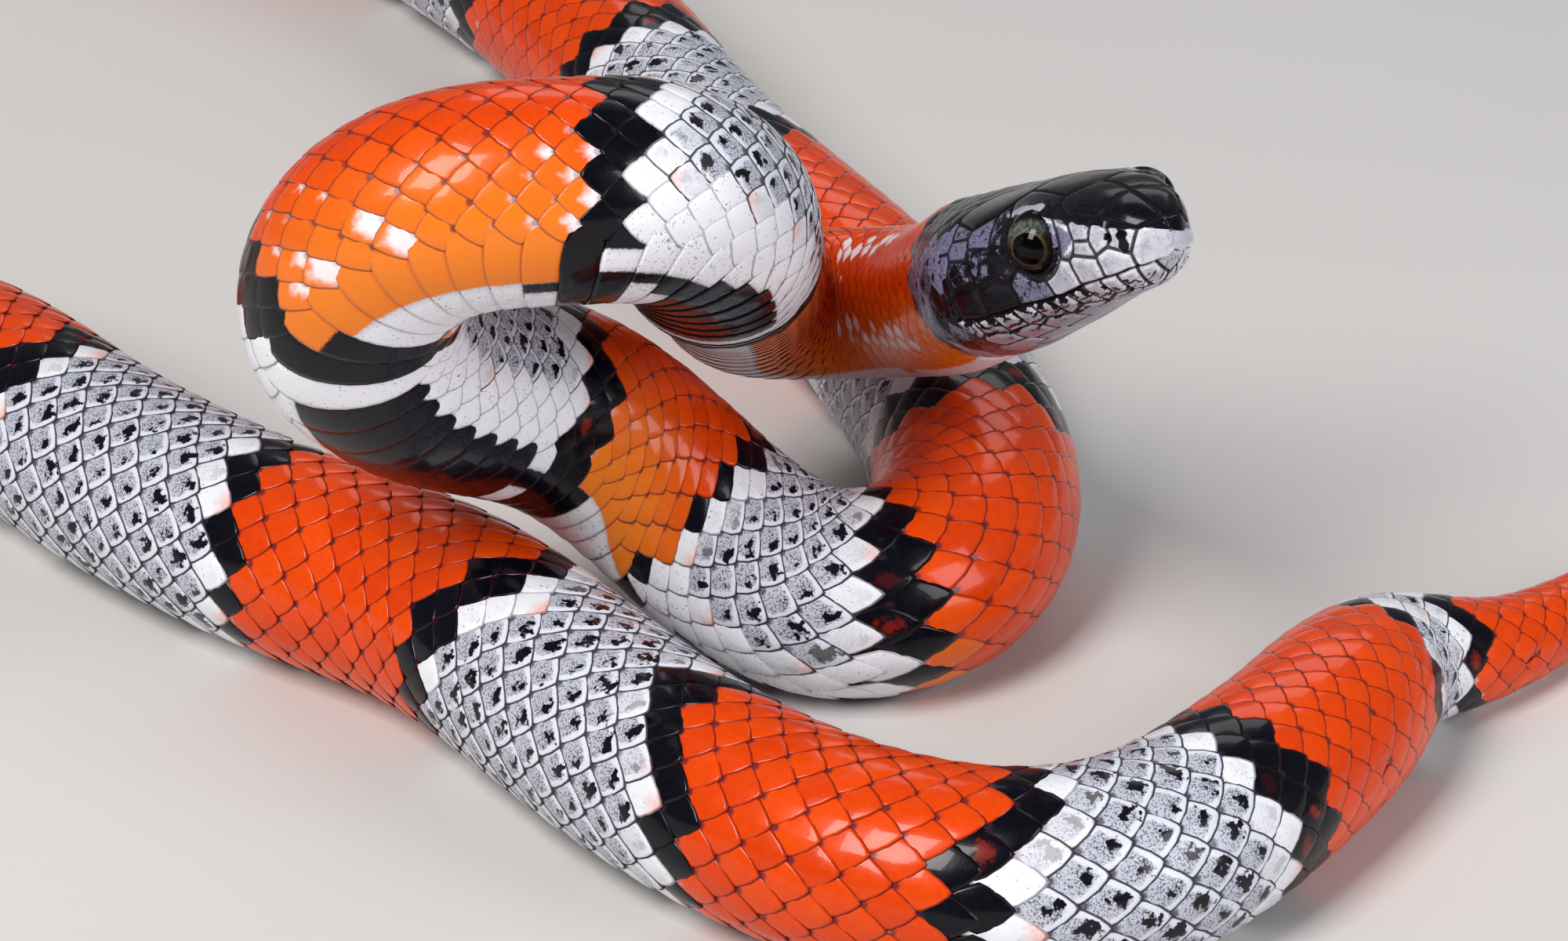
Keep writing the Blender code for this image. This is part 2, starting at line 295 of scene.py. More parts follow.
def wave(at, turn, seed):  # smooth noise round the body, about -1 to 1
    chance = np.random.RandomState(seed)
    total = np.zeros(np.broadcast(at, turn).shape)
    for i in range(5):
        a, b = chance.normal(0, 0.35), chance.normal(0, 2.2)
        total = total + np.sin(at * a + turn * round(b * 2) + chance.uniform(0, 6.3)) * 0.45
    return total


def markings(at, turn, own=0.0):  # shares of black, grey and white, each laid over the last from the end
    form, seed = markingForm, markingForm["seed"]
    at, turn = np.broadcast_arrays(np.asarray(at, float), np.asarray(turn, float))
    turn = (turn + math.pi) % (2 * math.pi) - math.pi
    degrees, ripple = np.degrees(np.abs(turn)), wave(at, turn, seed + 1)
    # the neck is twisted a little, so its belly markings lie to one side
    fromBelly = np.abs((np.degrees(turn) - np.interp(at, *form["bellyTwist"])) % 360 - 180)
    onBelly = degrees > form["bellyFrom"]
    onLoop = (at > form["loop"][0]) & (at < form["loop"][1])
    slants = [smoothStep(*form[name], np.abs(turn)) for name in ("frontSlant", "slant")]
    low = np.where(at > form["frontFrom"], *slants)[..., None]
    calm = np.where(at < form["loop"][1], form["calm"], 1.0)
    shifted = (at + (form["waves"] * wave(at, turn, seed) + form["stray"] * own) * calm)[..., None]
    under = np.where(onBelly, 1 - smoothStep(*form["bellyRing"], fromBelly), 0.0)[..., None]
    backFrom, backTo, lowFrom, lowTo = ringTable.T
    starts = backFrom + (lowFrom - backFrom) * low - 0.6 * under
    ends = backTo + (lowTo - backTo) * low + 1.3 * under
    isGrey = ((shifted > (starts + ends) / 2).sum(-1) % 2 == 1).astype(float)
    black = ((shifted > starts) & (shifted < ends)).any(-1).astype(float)
    # scales beside a ring are white
    gap = np.minimum(np.abs(shifted - starts), np.abs(shifted - ends)).min(-1)
    beside = 1 - smoothStep(*form["besideRing"], gap + 0.6 * own)
    paleFrom = form["paleFrom"] - form["paleHigher"] * (1 - smoothStep(*form["raisedTo"], at))
    pale = smoothStep(paleFrom - 5, paleFrom + 5, degrees + 4 * own)
    white = isGrey * np.maximum(beside * 0.9, pale)
    # below: plates keep the flank's orange at their ends, and grey zones hold a black patch
    bare = onBelly & (fromBelly < form["bellyBare"] + 3 * own + 3 * ripple)
    index = np.searchsorted((lowFrom + lowTo) / 2, at)
    before = np.concatenate([[0.0], lowTo])[index]
    after = np.concatenate([lowFrom, [bodyLength + 1]])[index]
    clear = [value + 0.8 * own for value in form["bellyClear"]]
    middle = (index % 2 == 1) & (at - before > clear[0]) & (after - at > clear[1])
    blotted = bare & onLoop & (fromBelly > 15) & (wave(at * 1.9, turn * 2.0, seed + 7) > 0.55)
    patch = blotted | onBelly & middle & (fromBelly < np.interp(at, *form["bellyPatch"]) + 5 * ripple)
    black = np.where(patch, 1.0, black)
    white = np.where(onBelly & (bare | (isGrey > 0.5)), 1.0, white) * (1 - black)
    # orange scales near a ring keep a pale root low on the flank, partly pale skin and partly painted highlight, and a
    # few patches are rosy; those on the loop are partly painted highlight too
    root = np.maximum(1 - gap / np.where(onLoop, *form["rootReach"]), 0) * (isGrey < 0.5)
    root = root * smoothStep(*form["rootDegrees"], degrees) * np.where(onLoop, *form["rootShare"]) * (0.8 + 0.4 * own)
    for first, last, high, lower, rare in form["rosyAndGlint"]:
        rosyAndGlint = (at > first) & (at < last) & (degrees > high) & (degrees < lower) & (own > rare)
        root = np.where(rosyAndGlint, 0.66 + 0.28 * own, root)
    white = np.where((black < 0.5) & ~onBelly, np.maximum(white, root), white)
    return np.stack([black, np.where(bare, 1.0, isGrey), white], axis=-1)


rearForm = {  # degrees from the crown, and a distance from the head's back
    "crown": (28, 58), "cheekTop": (76, 88), "cheekLow": (108, 116), "cheekFrom": (4.5, 7.5), "throat": (112, 128),
    "lavender": 0.46,  # share of black in the small scales
}


def headMarkings(ahead, turn, own=0.0):  # on the head's rear, where small lavender scales run into the black crown
    form, degrees = rearForm, np.degrees(np.abs(turn))
    crown = 1 - smoothStep(*form["crown"], degrees + 8 * own)
    cheek = smoothStep(*form["cheekTop"], degrees) * (1 - smoothStep(*form["cheekLow"], degrees))
    cheek = cheek * smoothStep(*form["cheekFrom"], ahead + 0.8 * own)
    black = np.maximum(np.clip(0.9 * crown + cheek, 0, 1), form["lavender"] + 0.16 * own)
    white = smoothStep(*form["throat"], degrees) * 0.45 * (1 - cheek)
    return np.stack([black, np.ones_like(black), white * (1 - black)], axis=-1)


class Wiring:  # short names for the nodes and sums of one tree
    def __init__(self, tree):
        self.tree = tree

    def feed(self, socket, value):
        if isinstance(value, bpy.types.NodeSocket):
            self.tree.links.new(value, socket)
        else:
            socket.default_value = value

    def add(self, kind, inputs=None, **settings):
        node = self.tree.nodes.new(kind)
        for name, value in settings.items():
            setattr(node, name, value)
        for name, value in (inputs or {}).items():
            self.feed(node.inputs[name], value)
        return node

    def calc(self, operation, *values, clamp=False):
        return self.add("ShaderNodeMath", dict(enumerate(values)), operation=operation, use_clamp=clamp).outputs[0]

    def plus(self, first, second):
        return self.calc("ADD", first, second)

    def minus(self, first, second):
        return self.calc("SUBTRACT", first, second)

    def times(self, first, *others):
        for other in others:
            first = self.calc("MULTIPLY", first, other)
        return first

    def timesPlus(self, value, factor, more):
        return self.calc("MULTIPLY_ADD", value, factor, more)

    def rest(self, value):
        return self.minus(1.0, value)

    def vector(self, operation, *values, scale=None):
        node = self.add("ShaderNodeVectorMath", dict(enumerate(values)), operation=operation)
        if scale is not None:
            self.feed(node.inputs["Scale"], scale)
        return node.outputs["Value" if operation in ("LENGTH", "DOT_PRODUCT") else "Vector"]

    def joined(self, x, y, z=0.0):
        return self.add("ShaderNodeCombineXYZ", {"X": x, "Y": y, "Z": z}).outputs[0]

    def parts(self, vector):
        return list(self.add("ShaderNodeSeparateXYZ", {0: vector}).outputs)

    def rising(self, low, high, value):  # 0 below low, 1 above high
        inputs = {"Value": value, "From Min": low, "From Max": high}
        return self.add("ShaderNodeMapRange", inputs, interpolation_type="SMOOTHSTEP").outputs["Result"]

    def falling(self, low, high, value):
        return self.rest(self.rising(low, high, value))

    def mixed(self, share, first, second):
        colours = [value if isinstance(value, bpy.types.NodeSocket) else (*value, 1.0) for value in (first, second)]
        return self.add("ShaderNodeMix", {0: share, 6: colours[0], 7: colours[1]}, data_type="RGBA").outputs[2]

    def noise(self, place, scale, detail=2.0, rough=0.5):
        inputs = {"Vector": place, "Scale": scale, "Detail": detail, "Roughness": rough}
        return self.add("ShaderNodeTexNoise", inputs).outputs["Fac"]


def newGroup(name, kind, sockets):
    tree = bpy.data.node_groups.new(name, kind)
    for way, label, form, value in sockets:
        socket = tree.interface.new_socket(label, in_out=way, socket_type="NodeSocket" + form)
        if value is not None:
            socket.default_value = value
    return Wiring(tree), tree.nodes.new("NodeGroupInput").outputs, tree.nodes.new("NodeGroupOutput").inputs


def newFinish(name):
    material = bpy.data.materials.new(name)
    material.use_nodes = True
    return material, Wiring(material.node_tree), material.node_tree.nodes["Principled BSDF"].inputs


def addObject(name, mesh):
    obj = bpy.data.objects.new(name, mesh)
    scene.collection.objects.link(obj)
    return obj


def newObject(name, points, faces):
    mesh = bpy.data.meshes.new(name)
    mesh.from_pydata((np.asarray(points) * toMetres).tolist(), [], faces)
    return addObject(name, mesh)


def storeVector(mesh, name, rows):
    layer = mesh.attributes.get(name) or mesh.attributes.new(name, "FLOAT_VECTOR", "POINT")
    layer.data.foreach_set("vector", np.ascontiguousarray(rows, np.float32).ravel())


def readVector(mesh, name):
    rows = np.empty(len(mesh.vertices) * 3, np.float32)
    mesh.attributes[name].data.foreach_get("vector", rows)
    return rows.reshape(-1, 3).astype(float)


def cornerPoints(mesh):  # the point of each face corner
    corners = np.empty(len(mesh.loops), np.int32)
    mesh.loops.foreach_get("vertex_index", corners)
    return corners


skinColours = {
    "lilacSkin": (0.17, 0.17, 0.27),
    "stipple": (0.028, 0.026, 0.042),
    "creamRim": (0.72, 0.73, 0.82),
    "blotch": (0.006, 0.004, 0.008),
    "white": ((0.82, 0.83, 0.89), (0.88, 0.87, 0.90)),
    "blush": (0.86, 0.26, 0.12),
    "cloud": (0.36, 0.36, 0.45),
    "fleck": (0.05, 0.04, 0.05),
    "orange": ((0.60, 0.034, 0.001), (0.84, 0.078, 0.002)),
    "lowOrange": (0.91, 0.29, 0.022),
    "seam": ((0.20, 0.010, 0.004), (0.62, 0.17, 0.09)),
    "dust": (0.30, 0.02, 0.006),
    "black": ((0.0008, 0.0008, 0.0016), (0.003, 0.003, 0.008)),
    "ash": (0.024, 0.021, 0.024),
    "ember": (0.17, 0.010, 0.006),
    "corner": (0.030, 0.012, 0.028),
    # gaps, seams and the skin between scales: partly dark skin, partly painted shade
    "gap": ((0.14, 0.010, 0.006), (0.005, 0.003, 0.006)),
}
skinGrain = {  # noise scale, detail, roughness
    "fine": (6500.0, 3.0, 0.6),
    "speck": (4200.0, 3.0, 0.6),
    "patchy": (1500.0, 2.0, 0.55),
    "broad": (90.0, 2.0, 0.5),
}


def markingsGroup(colours, grain):  # colour, roughness and height of skin and scales from their attributes
    net, given, made = newGroup("snake markings", "ShaderNodeTree", (
        ("INPUT", "Place", "Vector", None),
        ("INPUT", "Zone", "Vector", None),
        ("INPUT", "In Plate", "Vector", None),
        ("INPUT", "Tone", "Vector", None),
        ("INPUT", "Grey", "Color", (0.5, 0.5, 0.57, 1)),
        ("INPUT", "Spots", "Float", 1.0),
        ("INPUT", "Flecks", "Float", 0.0),
        ("INPUT", "Mottle", "Float", 0.0),
        ("OUTPUT", "Color", "Color", None),
        ("OUTPUT", "Roughness", "Float", None),
        ("OUTPUT", "Height", "Float", None),
        ("OUTPUT", "Shine", "Float", None),
    ))
    isBlack, isGrey, isWhite = net.parts(given["Zone"])
    lengthwise, across, edge = net.parts(given["In Plate"])
    own, low, onCoat = net.parts(given["Tone"])
    fine, speck, patchy, broad = [net.noise(given["Place"], *values) for values in grain.values()]
    wobble = net.minus(patchy, 0.5)
    spots, mottle = given["Spots"], given["Mottle"]

    def fromMiddle(x, y):
        return net.vector("LENGTH", net.joined(x, y))

    # grey scales: a cream rim, a speckled lilac middle and a black blotch towards the tip
    inward = fromMiddle(net.minus(lengthwise, 0.18), net.timesPlus(own, 0.3, net.plus(across, -0.15)))
    rim = net.times(net.rising(0.58, 0.74, net.timesPlus(wobble, 0.45, edge)), onCoat)
    rim = net.calc("MULTIPLY", rim, net.timesPlus(speck, -0.5, 1.18), clamp=True)
    stipple = net.rising(0.50, 0.62, net.timesPlus(inward, -0.07, net.plus(fine, 0.055)))
    reach = net.timesPlus(own, 0.24, 0.06)
    spot = net.times(net.falling(0.0, 0.12, net.minus(net.timesPlus(wobble, 1.5, inward), reach)), spots)
    grey = net.mixed(onCoat, colours["lilacSkin"], given["Grey"])
    grey = net.mixed(net.times(stipple, 0.85), grey, colours["stipple"])
    grey = net.mixed(rim, grey, colours["creamRim"])
    grey = net.mixed(spot, grey, colours["blotch"])

    # white ones: nearly clean, with a few specks and now and then a pink tinge
    white = net.mixed(broad, *colours["white"])
    blush = net.times(net.falling(0.22, 0.34, own), net.rising(0.0, 0.9, net.timesPlus(wobble, 1.2, lengthwise)))
    blush = net.times(blush, net.falling(0.91, 0.97, isWhite), net.times(onCoat, spots, 0.7))
    white = net.mixed(blush, white, colours["blush"])
    cloudy = net.rising(0.46, 0.66, net.timesPlus(fine, 0.35, net.times(patchy, 0.65)))
    white = net.mixed(net.times(cloudy, mottle, 0.6), white, colours["cloud"])
    fleck = net.rising(0.66, 0.72, net.plus(net.timesPlus(own, 0.06, speck), given["Flecks"]))
    white = net.mixed(net.times(fleck, isGrey, 0.75), white, colours["fleck"])

    # orange ones: deeper on the back, yellower low down, dark red seams that pale low on the flank
    orange = net.mixed(net.timesPlus(own, 0.45, net.times(patchy, 0.5)), *colours["orange"])
    orange = net.mixed(net.times(net.rising(0.35, 0.80, low), 0.62), orange, colours["lowOrange"])
    seam = net.mixed(net.rising(0.42, 0.70, low), *colours["seam"])
    orange = net.mixed(net.times(net.rising(0.86, 1.0, edge), 0.85), orange, seam)
    orange = net.mixed(net.times(net.rising(0.62, 0.72, speck), 0.22), orange, colours["dust"])

    black = net.mixed(patchy, *colours["black"])
    ashen = net.times(net.rising(0.42, 0.70, net.timesPlus(fine, 0.5, net.times(broad, 0.5))), mottle)
    black = net.mixed(net.times(ashen, net.falling(0.15, 0.21, low)), black, colours["ash"])
    ember = net.falling(0.18, 0.5, net.plus(fromMiddle(lengthwise, across), wobble))
    ember = net.times(net.rising(0.91, 0.94, own), ember, onCoat, spots)
    black = net.mixed(ember, black, colours["ember"])

    ragged = net.timesPlus(net.minus(speck, 0.5), 0.35, net.times(wobble, 1.3, mottle))
    onBlack, onGrey = [net.rising(0.38, 0.62, net.plus(value, ragged)) for value in (isBlack, isGrey)]
    colour = net.mixed(onGrey, orange, grey)
    # on orange ones the white starts at the root and grows towards the tip
    fromRoot = net.plus(net.plus(lengthwise, 1.44), net.times(net.calc("ABSOLUTE", across), 0.85))
    fromRoot = net.timesPlus(isWhite, -2.5, net.timesPlus(wobble, 0.9, fromRoot))
    rooted = net.times(net.falling(-0.50, 0.32, fromRoot), 0.86)
    whole = net.plus(net.times(onGrey, isWhite), net.times(net.rest(onGrey), rooted))
    inner = net.times(net.falling(0.45, 0.85, edge), net.rest(onCoat), mottle)
    colour = net.mixed(net.times(whole, net.timesPlus(inner, -0.35, 1.0)), colour, white)
    colour = net.mixed(onBlack, colour, black)
    # a dark point where four scales meet, and dull gaps painted dark: partly dark skin, partly painted shade in the
    # gaps
    corner = net.falling(0.08, 0.26, fromMiddle(net.plus(lengthwise, 1.0), across))
    corner = net.times(corner, spots, net.rest(isWhite), 0.8)
    colour = net.mixed(corner, colour, colours["corner"])
    wider = net.timesPlus(net.times(onGrey, onCoat), 0.05, net.timesPlus(onGrey, 0.03, net.minus(edge, 0.03)))
    gap = net.rising(0.925, 0.985, wider)
    faint = net.timesPlus(net.times(onGrey, net.rising(0.75, 0.95, isWhite)), net.times(onCoat, -0.5), 0.92)
    colour = net.mixed(net.times(gap, faint), colour, net.mixed(onGrey, *colours["gap"]))
    net.feed(made["Color"], colour)
    dull = net.timesPlus(isWhite, 0.08, net.timesPlus(patchy, 0.14, 0.19))
    net.feed(made["Roughness"], net.timesPlus(gap, 0.4, dull))
    net.feed(made["Shine"], net.timesPlus(gap, -0.85, 1.0))
    net.feed(made["Height"], net.plus(net.times(patchy, 0.6), net.times(speck, 0.4)))
    return net.tree


snakeMarkings = markingsGroup(skinColours, skinGrain)
finishForm = {
    "bumpDepth": 0.00003,
    "bumpStrength": 0.6,
    "coat": 0.22,
    "coatRoughness": 0.06,
    "specular": 0.15,
    "grey": (0.52, 0.53, 0.61),
    "spots": 1.0,
    "flecks": 0.0,
    "mottle": 0.0,
}


def scaleFinish(name, **changes):
    form = {**finishForm, **changes}
    material, net, shader = newFinish(name)
    marks = net.add("ShaderNodeGroup", node_tree=snakeMarkings)
    net.feed(marks.inputs["Place"], net.add("ShaderNodeTexCoord").outputs["Object"])
    for socket, layer in (("Zone", "zone"), ("In Plate", "inPlate"), ("Tone", "tone")):
        net.feed(marks.inputs[socket], net.add("ShaderNodeAttribute", attribute_name=layer).outputs["Vector"])
    marks.inputs["Grey"].default_value = (*form["grey"], 1)
    for socket in ("Spots", "Flecks", "Mottle"):
        marks.inputs[socket].default_value = form[socket.lower()]
    bump = net.add("ShaderNodeBump", {
        "Height": marks.outputs["Height"], "Distance": form["bumpDepth"], "Strength": form["bumpStrength"]})
    net.feed(shader["Base Color"], marks.outputs["Color"])
    net.feed(shader["Roughness"], marks.outputs["Roughness"])
    net.feed(shader["Normal"], bump.outputs["Normal"])
    net.feed(shader["Coat Weight"], net.times(marks.outputs["Shine"], form["coat"]))
    shader["Specular IOR Level"].default_value = form["specular"]
    shader["Coat Roughness"].default_value = form["coatRoughness"]
    return material


scaleGloss = scaleFinish("glossy scales")
bellyGloss = scaleFinish("polished belly plates", coat=0.25, spots=0.0, flecks=0.02)
headGloss = scaleFinish("head plates and skin", coat=0.2, grey=(0.17, 0.17, 0.27), spots=0.0, mottle=1.0)
print("finishes made")

# The coat: a plate is repeated on a flat lattice and bent round the body
coatForm = {
    "seed": 11,
    "period": (  # distance, length of a scale
        (-10, 1.9), (0, 2.0), (30, 2.15), (62, 2.1), (82, 2.05), (94, 2.4), (130, 2.5), (150, 3.0), (175, 3.35),
        (700, 3.35), (745, 2.9), (790, 2.3), (870, 1.25),
    ),
    "rows": (  # distance, scales round the body
        (-8.6, 28), (-0.4, 23), (165, 21), (700, 19), (734, 17), (746, 15), (754, 13), (762, 11), (784, 9), (826, 7),
    ),
    "pieceEdges": (-20.0, 172.0, 420.0, 640.0, 900.0),
    "coverDegrees": 135.5,
    "tailCoverDegrees": 139.0,
    "ventAt": 744.0,
    "bareTip": 1.2,
    "fullPeriod": 3.2,  # shorter scales are thinner too
    "plateTip": 0.60,  # in steps of the lattice
    "plateRoot": 0.80,
    "plateBlunt": 1.28,
    "plateRise": 0.30,
    "plateDome": 0.14,
    "plateThick": 0.11,
    "sunk": 0.03,
    "wander": 0.035,
    "tuck": 0.14,  # how far the foremost scales sink under the head's plates
}
beltForm = {"across": 16, "half": 49.0, "tailHalf": 22.5, "tailMiddle": 21.0}  # columns, degrees
bakeWrap = {"start": -11.0, "long": 110.0, "strips": 9, "patch": 0.0013}


def plateTilt(form, x, share=1.0):
    return form["plateRise"] * share * ((x + form["plateRoot"]) / (form["plateTip"] + form["plateRoot"]) - 1)


# One scale: an overlapping lozenge with a rounded tip, tilted so that the tip rides on the next ones
def plateMesh(form, turns=(0, 18, 40, 65, 90, 130, 180, 230, 270, 295, 320, 342)):
    points, faces, inPlate, spread = [], [], [], []

    def rim(share, drop=0.0, uvShare=None, mark=None):
        row = []
        power, wide = 2 / form["plateBlunt"], uvShare or share
        for turn in np.radians(turns):
            reach = form["plateTip"] if math.cos(turn) > 0 else form["plateRoot"]
            x = powered(math.cos(turn), power) * reach * share
            y = powered(math.sin(turn), power) * share
            dome = form["plateDome"] * (1 - min(share, 1.0) ** 2.2)
            points.append((x, y, plateTilt(form, x) + dome - form["sunk"] - drop))
            inPlate.append(((x - 0.12) / 0.5, y, mark or share))
            spread.append((math.cos(turn) * wide, math.sin(turn) * wide))
            row.append(len(points) - 1)
        return row

    points.append((0, 0, plateTilt(form, 0) + form["plateDome"] - form["sunk"]))
    inPlate.append((-0.24, 0, 0))
    spread.append((0, 0))
    rows = [rim(0.5), rim(0.84), rim(1.0), rim(0.985, drop=form["plateThick"], uvShare=1.16, mark=1.1)]
    for i in range(len(turns)):
        j = (i + 1) % len(turns)
        faces.append((0, rows[0][i], rows[0][j]))
        for inner, outer in zip(rows, rows[1:]):
            faces.append((inner[i], outer[i], outer[j], inner[j]))
    faces.append(tuple(reversed(rows[-1])))
    return points, faces, inPlate, spread


def beltMesh(form, across):  # one belly plate: a wide band from side to side, closed below
    points, faces, inPlate, spread = [], [], [], []
    columns = np.sin(np.linspace(-0.5, 0.5, across + 1) * math.pi * 0.92) / math.sin(0.46 * math.pi)
    shares = (-1.0, -0.2, 0.45, 0.82, 1.0)
    long, wide = len(shares), len(columns)
    for under in (0, 1):
        for y in columns:
            close = 0.25 + 0.75 * (max(1 - abs(y) ** 5, 0)) ** 0.5
            tip = form["plateTip"] * close - 0.10 * abs(y) ** 2
            root = -form["plateRoot"] * close
            for share in shares:
                x = root + (tip - root) * (share + 1) / 2
                edge = max(((share + 1) / 2) ** 4 * 0.97, abs(y) ** 14)
                dome = 0.5 * form["plateDome"] * (1 - max(share, 0) ** 4) * (1 - abs(y) ** 8)
                z = plateTilt(form, x, 0.8) + dome - form["sunk"] - 0.10 * abs(y) ** 8 - under * form["plateThick"]
                points.append((x, y, z))
                inPlate.append((0.6, y, 1.1 if under else edge))
                spread.append((share + 2.6 * under, y))

    def at(i, j, under=0):
        return (under * wide + i) * long + j

    for i in range(wide - 1):
        for j in range(long - 1):
            faces.append((at(i, j), at(i, j + 1), at(i + 1, j + 1), at(i + 1, j)))
            faces.append((at(i, j, 1), at(i + 1, j, 1), at(i + 1, j + 1, 1), at(i, j + 1, 1)))
    border = [(i, 0) for i in range(wide)] + [(wide - 1, j) for j in range(1, long)]
    border += [(i, long - 1) for i in range(wide - 2, -1, -1)] + [(0, j) for j in range(long - 2, 0, -1)]
    for first, second in zip(border, border[1:] + border[:1]):
        faces.append((at(*first), at(*second), at(*second, 1), at(*first, 1)))
    return points, faces, inPlate, spread


def pattern(name, parts, lastApart):  # a hidden object that the coat's nodes repeat, its numbers unscaled
    points, faces, inPlate, spread = parts
    mesh = bpy.data.meshes.new(name)
    mesh.from_pydata(points, [], faces)
    storeVector(mesh, "inPlate", inPlate)
    uvs = np.asarray(spread)[cornerPoints(mesh)]
    if lastApart:  # the underside gets its own round patch beside the top's
        uvs[mesh.polygons[-1].loop_start :] = uvs[mesh.polygons[-1].loop_start :] * (0.8, 0.8) + (2.3, 0)
    mesh.uv_layers.new(name="OFBake").data.foreach_set("uv", np.ascontiguousarray(uvs, np.float32).ravel())
    return bpy.data.objects.new(name, mesh)


def lineObject():
    obj = newObject("body line", line["place"] / toMetres, [])
    for name in ("left", "top", "girth", "square"):
        storeVector(obj.data, name, line[name])
    return obj


def coatTree():
    net, given, made = newGroup("scale coat", "GeometryNodeTree", (
        ("INPUT", "Geometry", "Geometry", None),
        ("INPUT", "Plate", "Object", None),
        ("INPUT", "Body Line", "Object", None),
        ("INPUT", "Line Start", "Float", 0.0),
        ("INPUT", "Line Step", "Float", 0.05),
        ("INPUT", "Metres", "Float", 0.001),
        ("INPUT", "Finish", "Material", None),
        ("OUTPUT", "Geometry", "Geometry", None),
    ))

    def named(name):
        return net.add("GeometryNodeInputNamedAttribute", {"Name": name}, data_type="FLOAT_VECTOR").outputs["Attribute"]

    plate = net.add("GeometryNodeObjectInfo", {"Object": given["Plate"]}).outputs["Geometry"]
    body = net.add("GeometryNodeObjectInfo", {"Object": given["Body Line"]}).outputs["Geometry"]
    placed = net.add("GeometryNodeInstanceOnPoints", {
        "Points": given["Geometry"], "Instance": plate, "Scale": named("reach")}).outputs["Instances"]
    solid = net.add("GeometryNodeRealizeInstances", {"Geometry": placed}).outputs["Geometry"]
    flat = net.add("GeometryNodeInputPosition").outputs[0]
    kept = net.add(
        "GeometryNodeStoreNamedAttribute", {"Geometry": solid, "Name": "bodyPlace", "Value": flat},
        data_type="FLOAT_VECTOR", domain="POINT").outputs["Geometry"]
    at, turn, lift = net.parts(flat)
    index = net.calc("DIVIDE", net.minus(at, given["Line Start"]), given["Line Step"])
    index = net.add("FunctionNodeFloatToInt", {0: index}, rounding_mode="ROUND").outputs[0]

    def sampled(value):  # read from the body's line at this distance
        return net.add(
            "GeometryNodeSampleIndex", {"Geometry": body, "Value": value, "Index": index},
            data_type="FLOAT_VECTOR", domain="POINT", clamp=True).outputs["Value"]

    half, rise, drop = net.parts(sampled(named("girth")))
    upperPower, lowerPower = net.parts(sampled(named("square")))[:2]
    sine, cosine = net.calc("SINE", turn), net.calc("COSINE", turn)
    above = net.calc("GREATER_THAN", cosine, 0.0)

    def either(high, low):
        return net.plus(low, net.times(above, net.minus(high, low)))

    power = either(upperPower, lowerPower)

    def raised(value, size):
        value = net.times(net.calc("SIGN", value), net.calc("POWER", net.calc("ABSOLUTE", value), power))
        return net.times(value, net.plus(size, lift))

    sideways = net.vector("SCALE", sampled(named("left")), scale=raised(sine, half))
    upwards = net.vector("SCALE", sampled(named("top")), scale=raised(cosine, either(rise, drop)))
    middle = sampled(net.add("GeometryNodeInputPosition").outputs[0])
    x, y, z = net.parts(net.vector("ADD", middle, net.vector("ADD", sideways, upwards)))
    # plates under the belly lie flat on the floor
    bent = net.joined(x, y, net.calc("MAXIMUM", z, net.times(lift, -1.0)))
    moved = net.add("GeometryNodeSetPosition", {
        "Geometry": kept, "Position": net.vector("SCALE", bent, scale=given["Metres"])}).outputs["Geometry"]
    smooth = net.add("GeometryNodeSetShadeSmooth", {"Geometry": moved}).outputs["Geometry"]
    finish = net.add("GeometryNodeSetMaterial", {"Geometry": smooth, "Material": given["Finish"]})
    net.feed(made["Geometry"], finish.outputs["Geometry"])
    return net.tree


lineAt = line["distance"]
linePeriod = smoothTable(coatForm["period"], lineAt, bodyForm["girthBlend"])
# how many scales long the body is at each distance
lineNumber = np.concatenate([[0.0], np.cumsum(np.diff(lineAt) / ((linePeriod[1:] + linePeriod[:-1]) / 2))])


def thinness(form, period):
    return min(period / form["fullPeriod"], 1.0) ** 0.8


def dorsalLattice(form, chance):
    rows = []
    starts = [row[0] for row in form["rows"]]
    for n in range(1, int(lineNumber[-1])):
        for half in (0, 1):
            at = np.interp(n + half / 2, lineNumber, lineAt)
            if at > bodyLength - form["bareTip"]:
                continue
            count = form["rows"][max(np.searchsorted(starts, at, "right") - 1, 0)][1]
            cover = 360.0 if count % 2 == 0 else 2 * form["coverDegrees"]
            if at > form["ventAt"]:
                cover = 2 * form["tailCoverDegrees"]
            width = math.radians(cover / count)
            period = np.interp(at, lineAt, linePeriod)
            for row in range(-((count - 1) // 2), count - (count - 1) // 2):
                turn = row * width
                if row % 2 != half or abs(turn) > math.pi - 1e-6 and row < 0:
                    continue
                rows.append((
                    at + chance.uniform(-1, 1) * form["wander"] * period,
                    turn + chance.uniform(-1, 1) * form["wander"] * width,
                    period * chance.uniform(0.98, 1.05), width * chance.uniform(0.97, 1.03), thinness(form, period),
                    chance.uniform(0, 1)))
    return np.array(rows)


def bellyLattice(form, chance, start, end, half, middle, offset=0.0):
    rows = []
    for n in range(1, int(lineNumber[-1])):
        at = float(np.interp(n + offset, lineNumber, lineAt))
        if start <= at < end:
            period = np.interp(at, lineAt, linePeriod)
            place = (at, math.radians(middle), period * 1.02, math.radians(half))
            rows.append((*place, thinness(form, period), chance.uniform(0, 1)))
    return np.array(rows)


def bakePlace(at, turn):  # where a place lies on the skin's unwrap: the body's side rolled out and cut in strips
    run = (np.asarray(at) - bakeWrap["start"]) / bakeWrap["long"]
    strip = np.floor(run)
    v = (strip + 0.02 + 0.96 * ((np.asarray(turn) + math.pi) / (2 * math.pi))) / bakeWrap["strips"]
    return 0.004 + 0.985 * (run - strip), v


coatNodes = coatTree()
linePoints = lineObject()
platePattern = pattern("scale pattern", plateMesh(coatForm), True)
beltPattern = pattern("belly pattern", beltMesh(coatForm, beltForm["across"]), False)


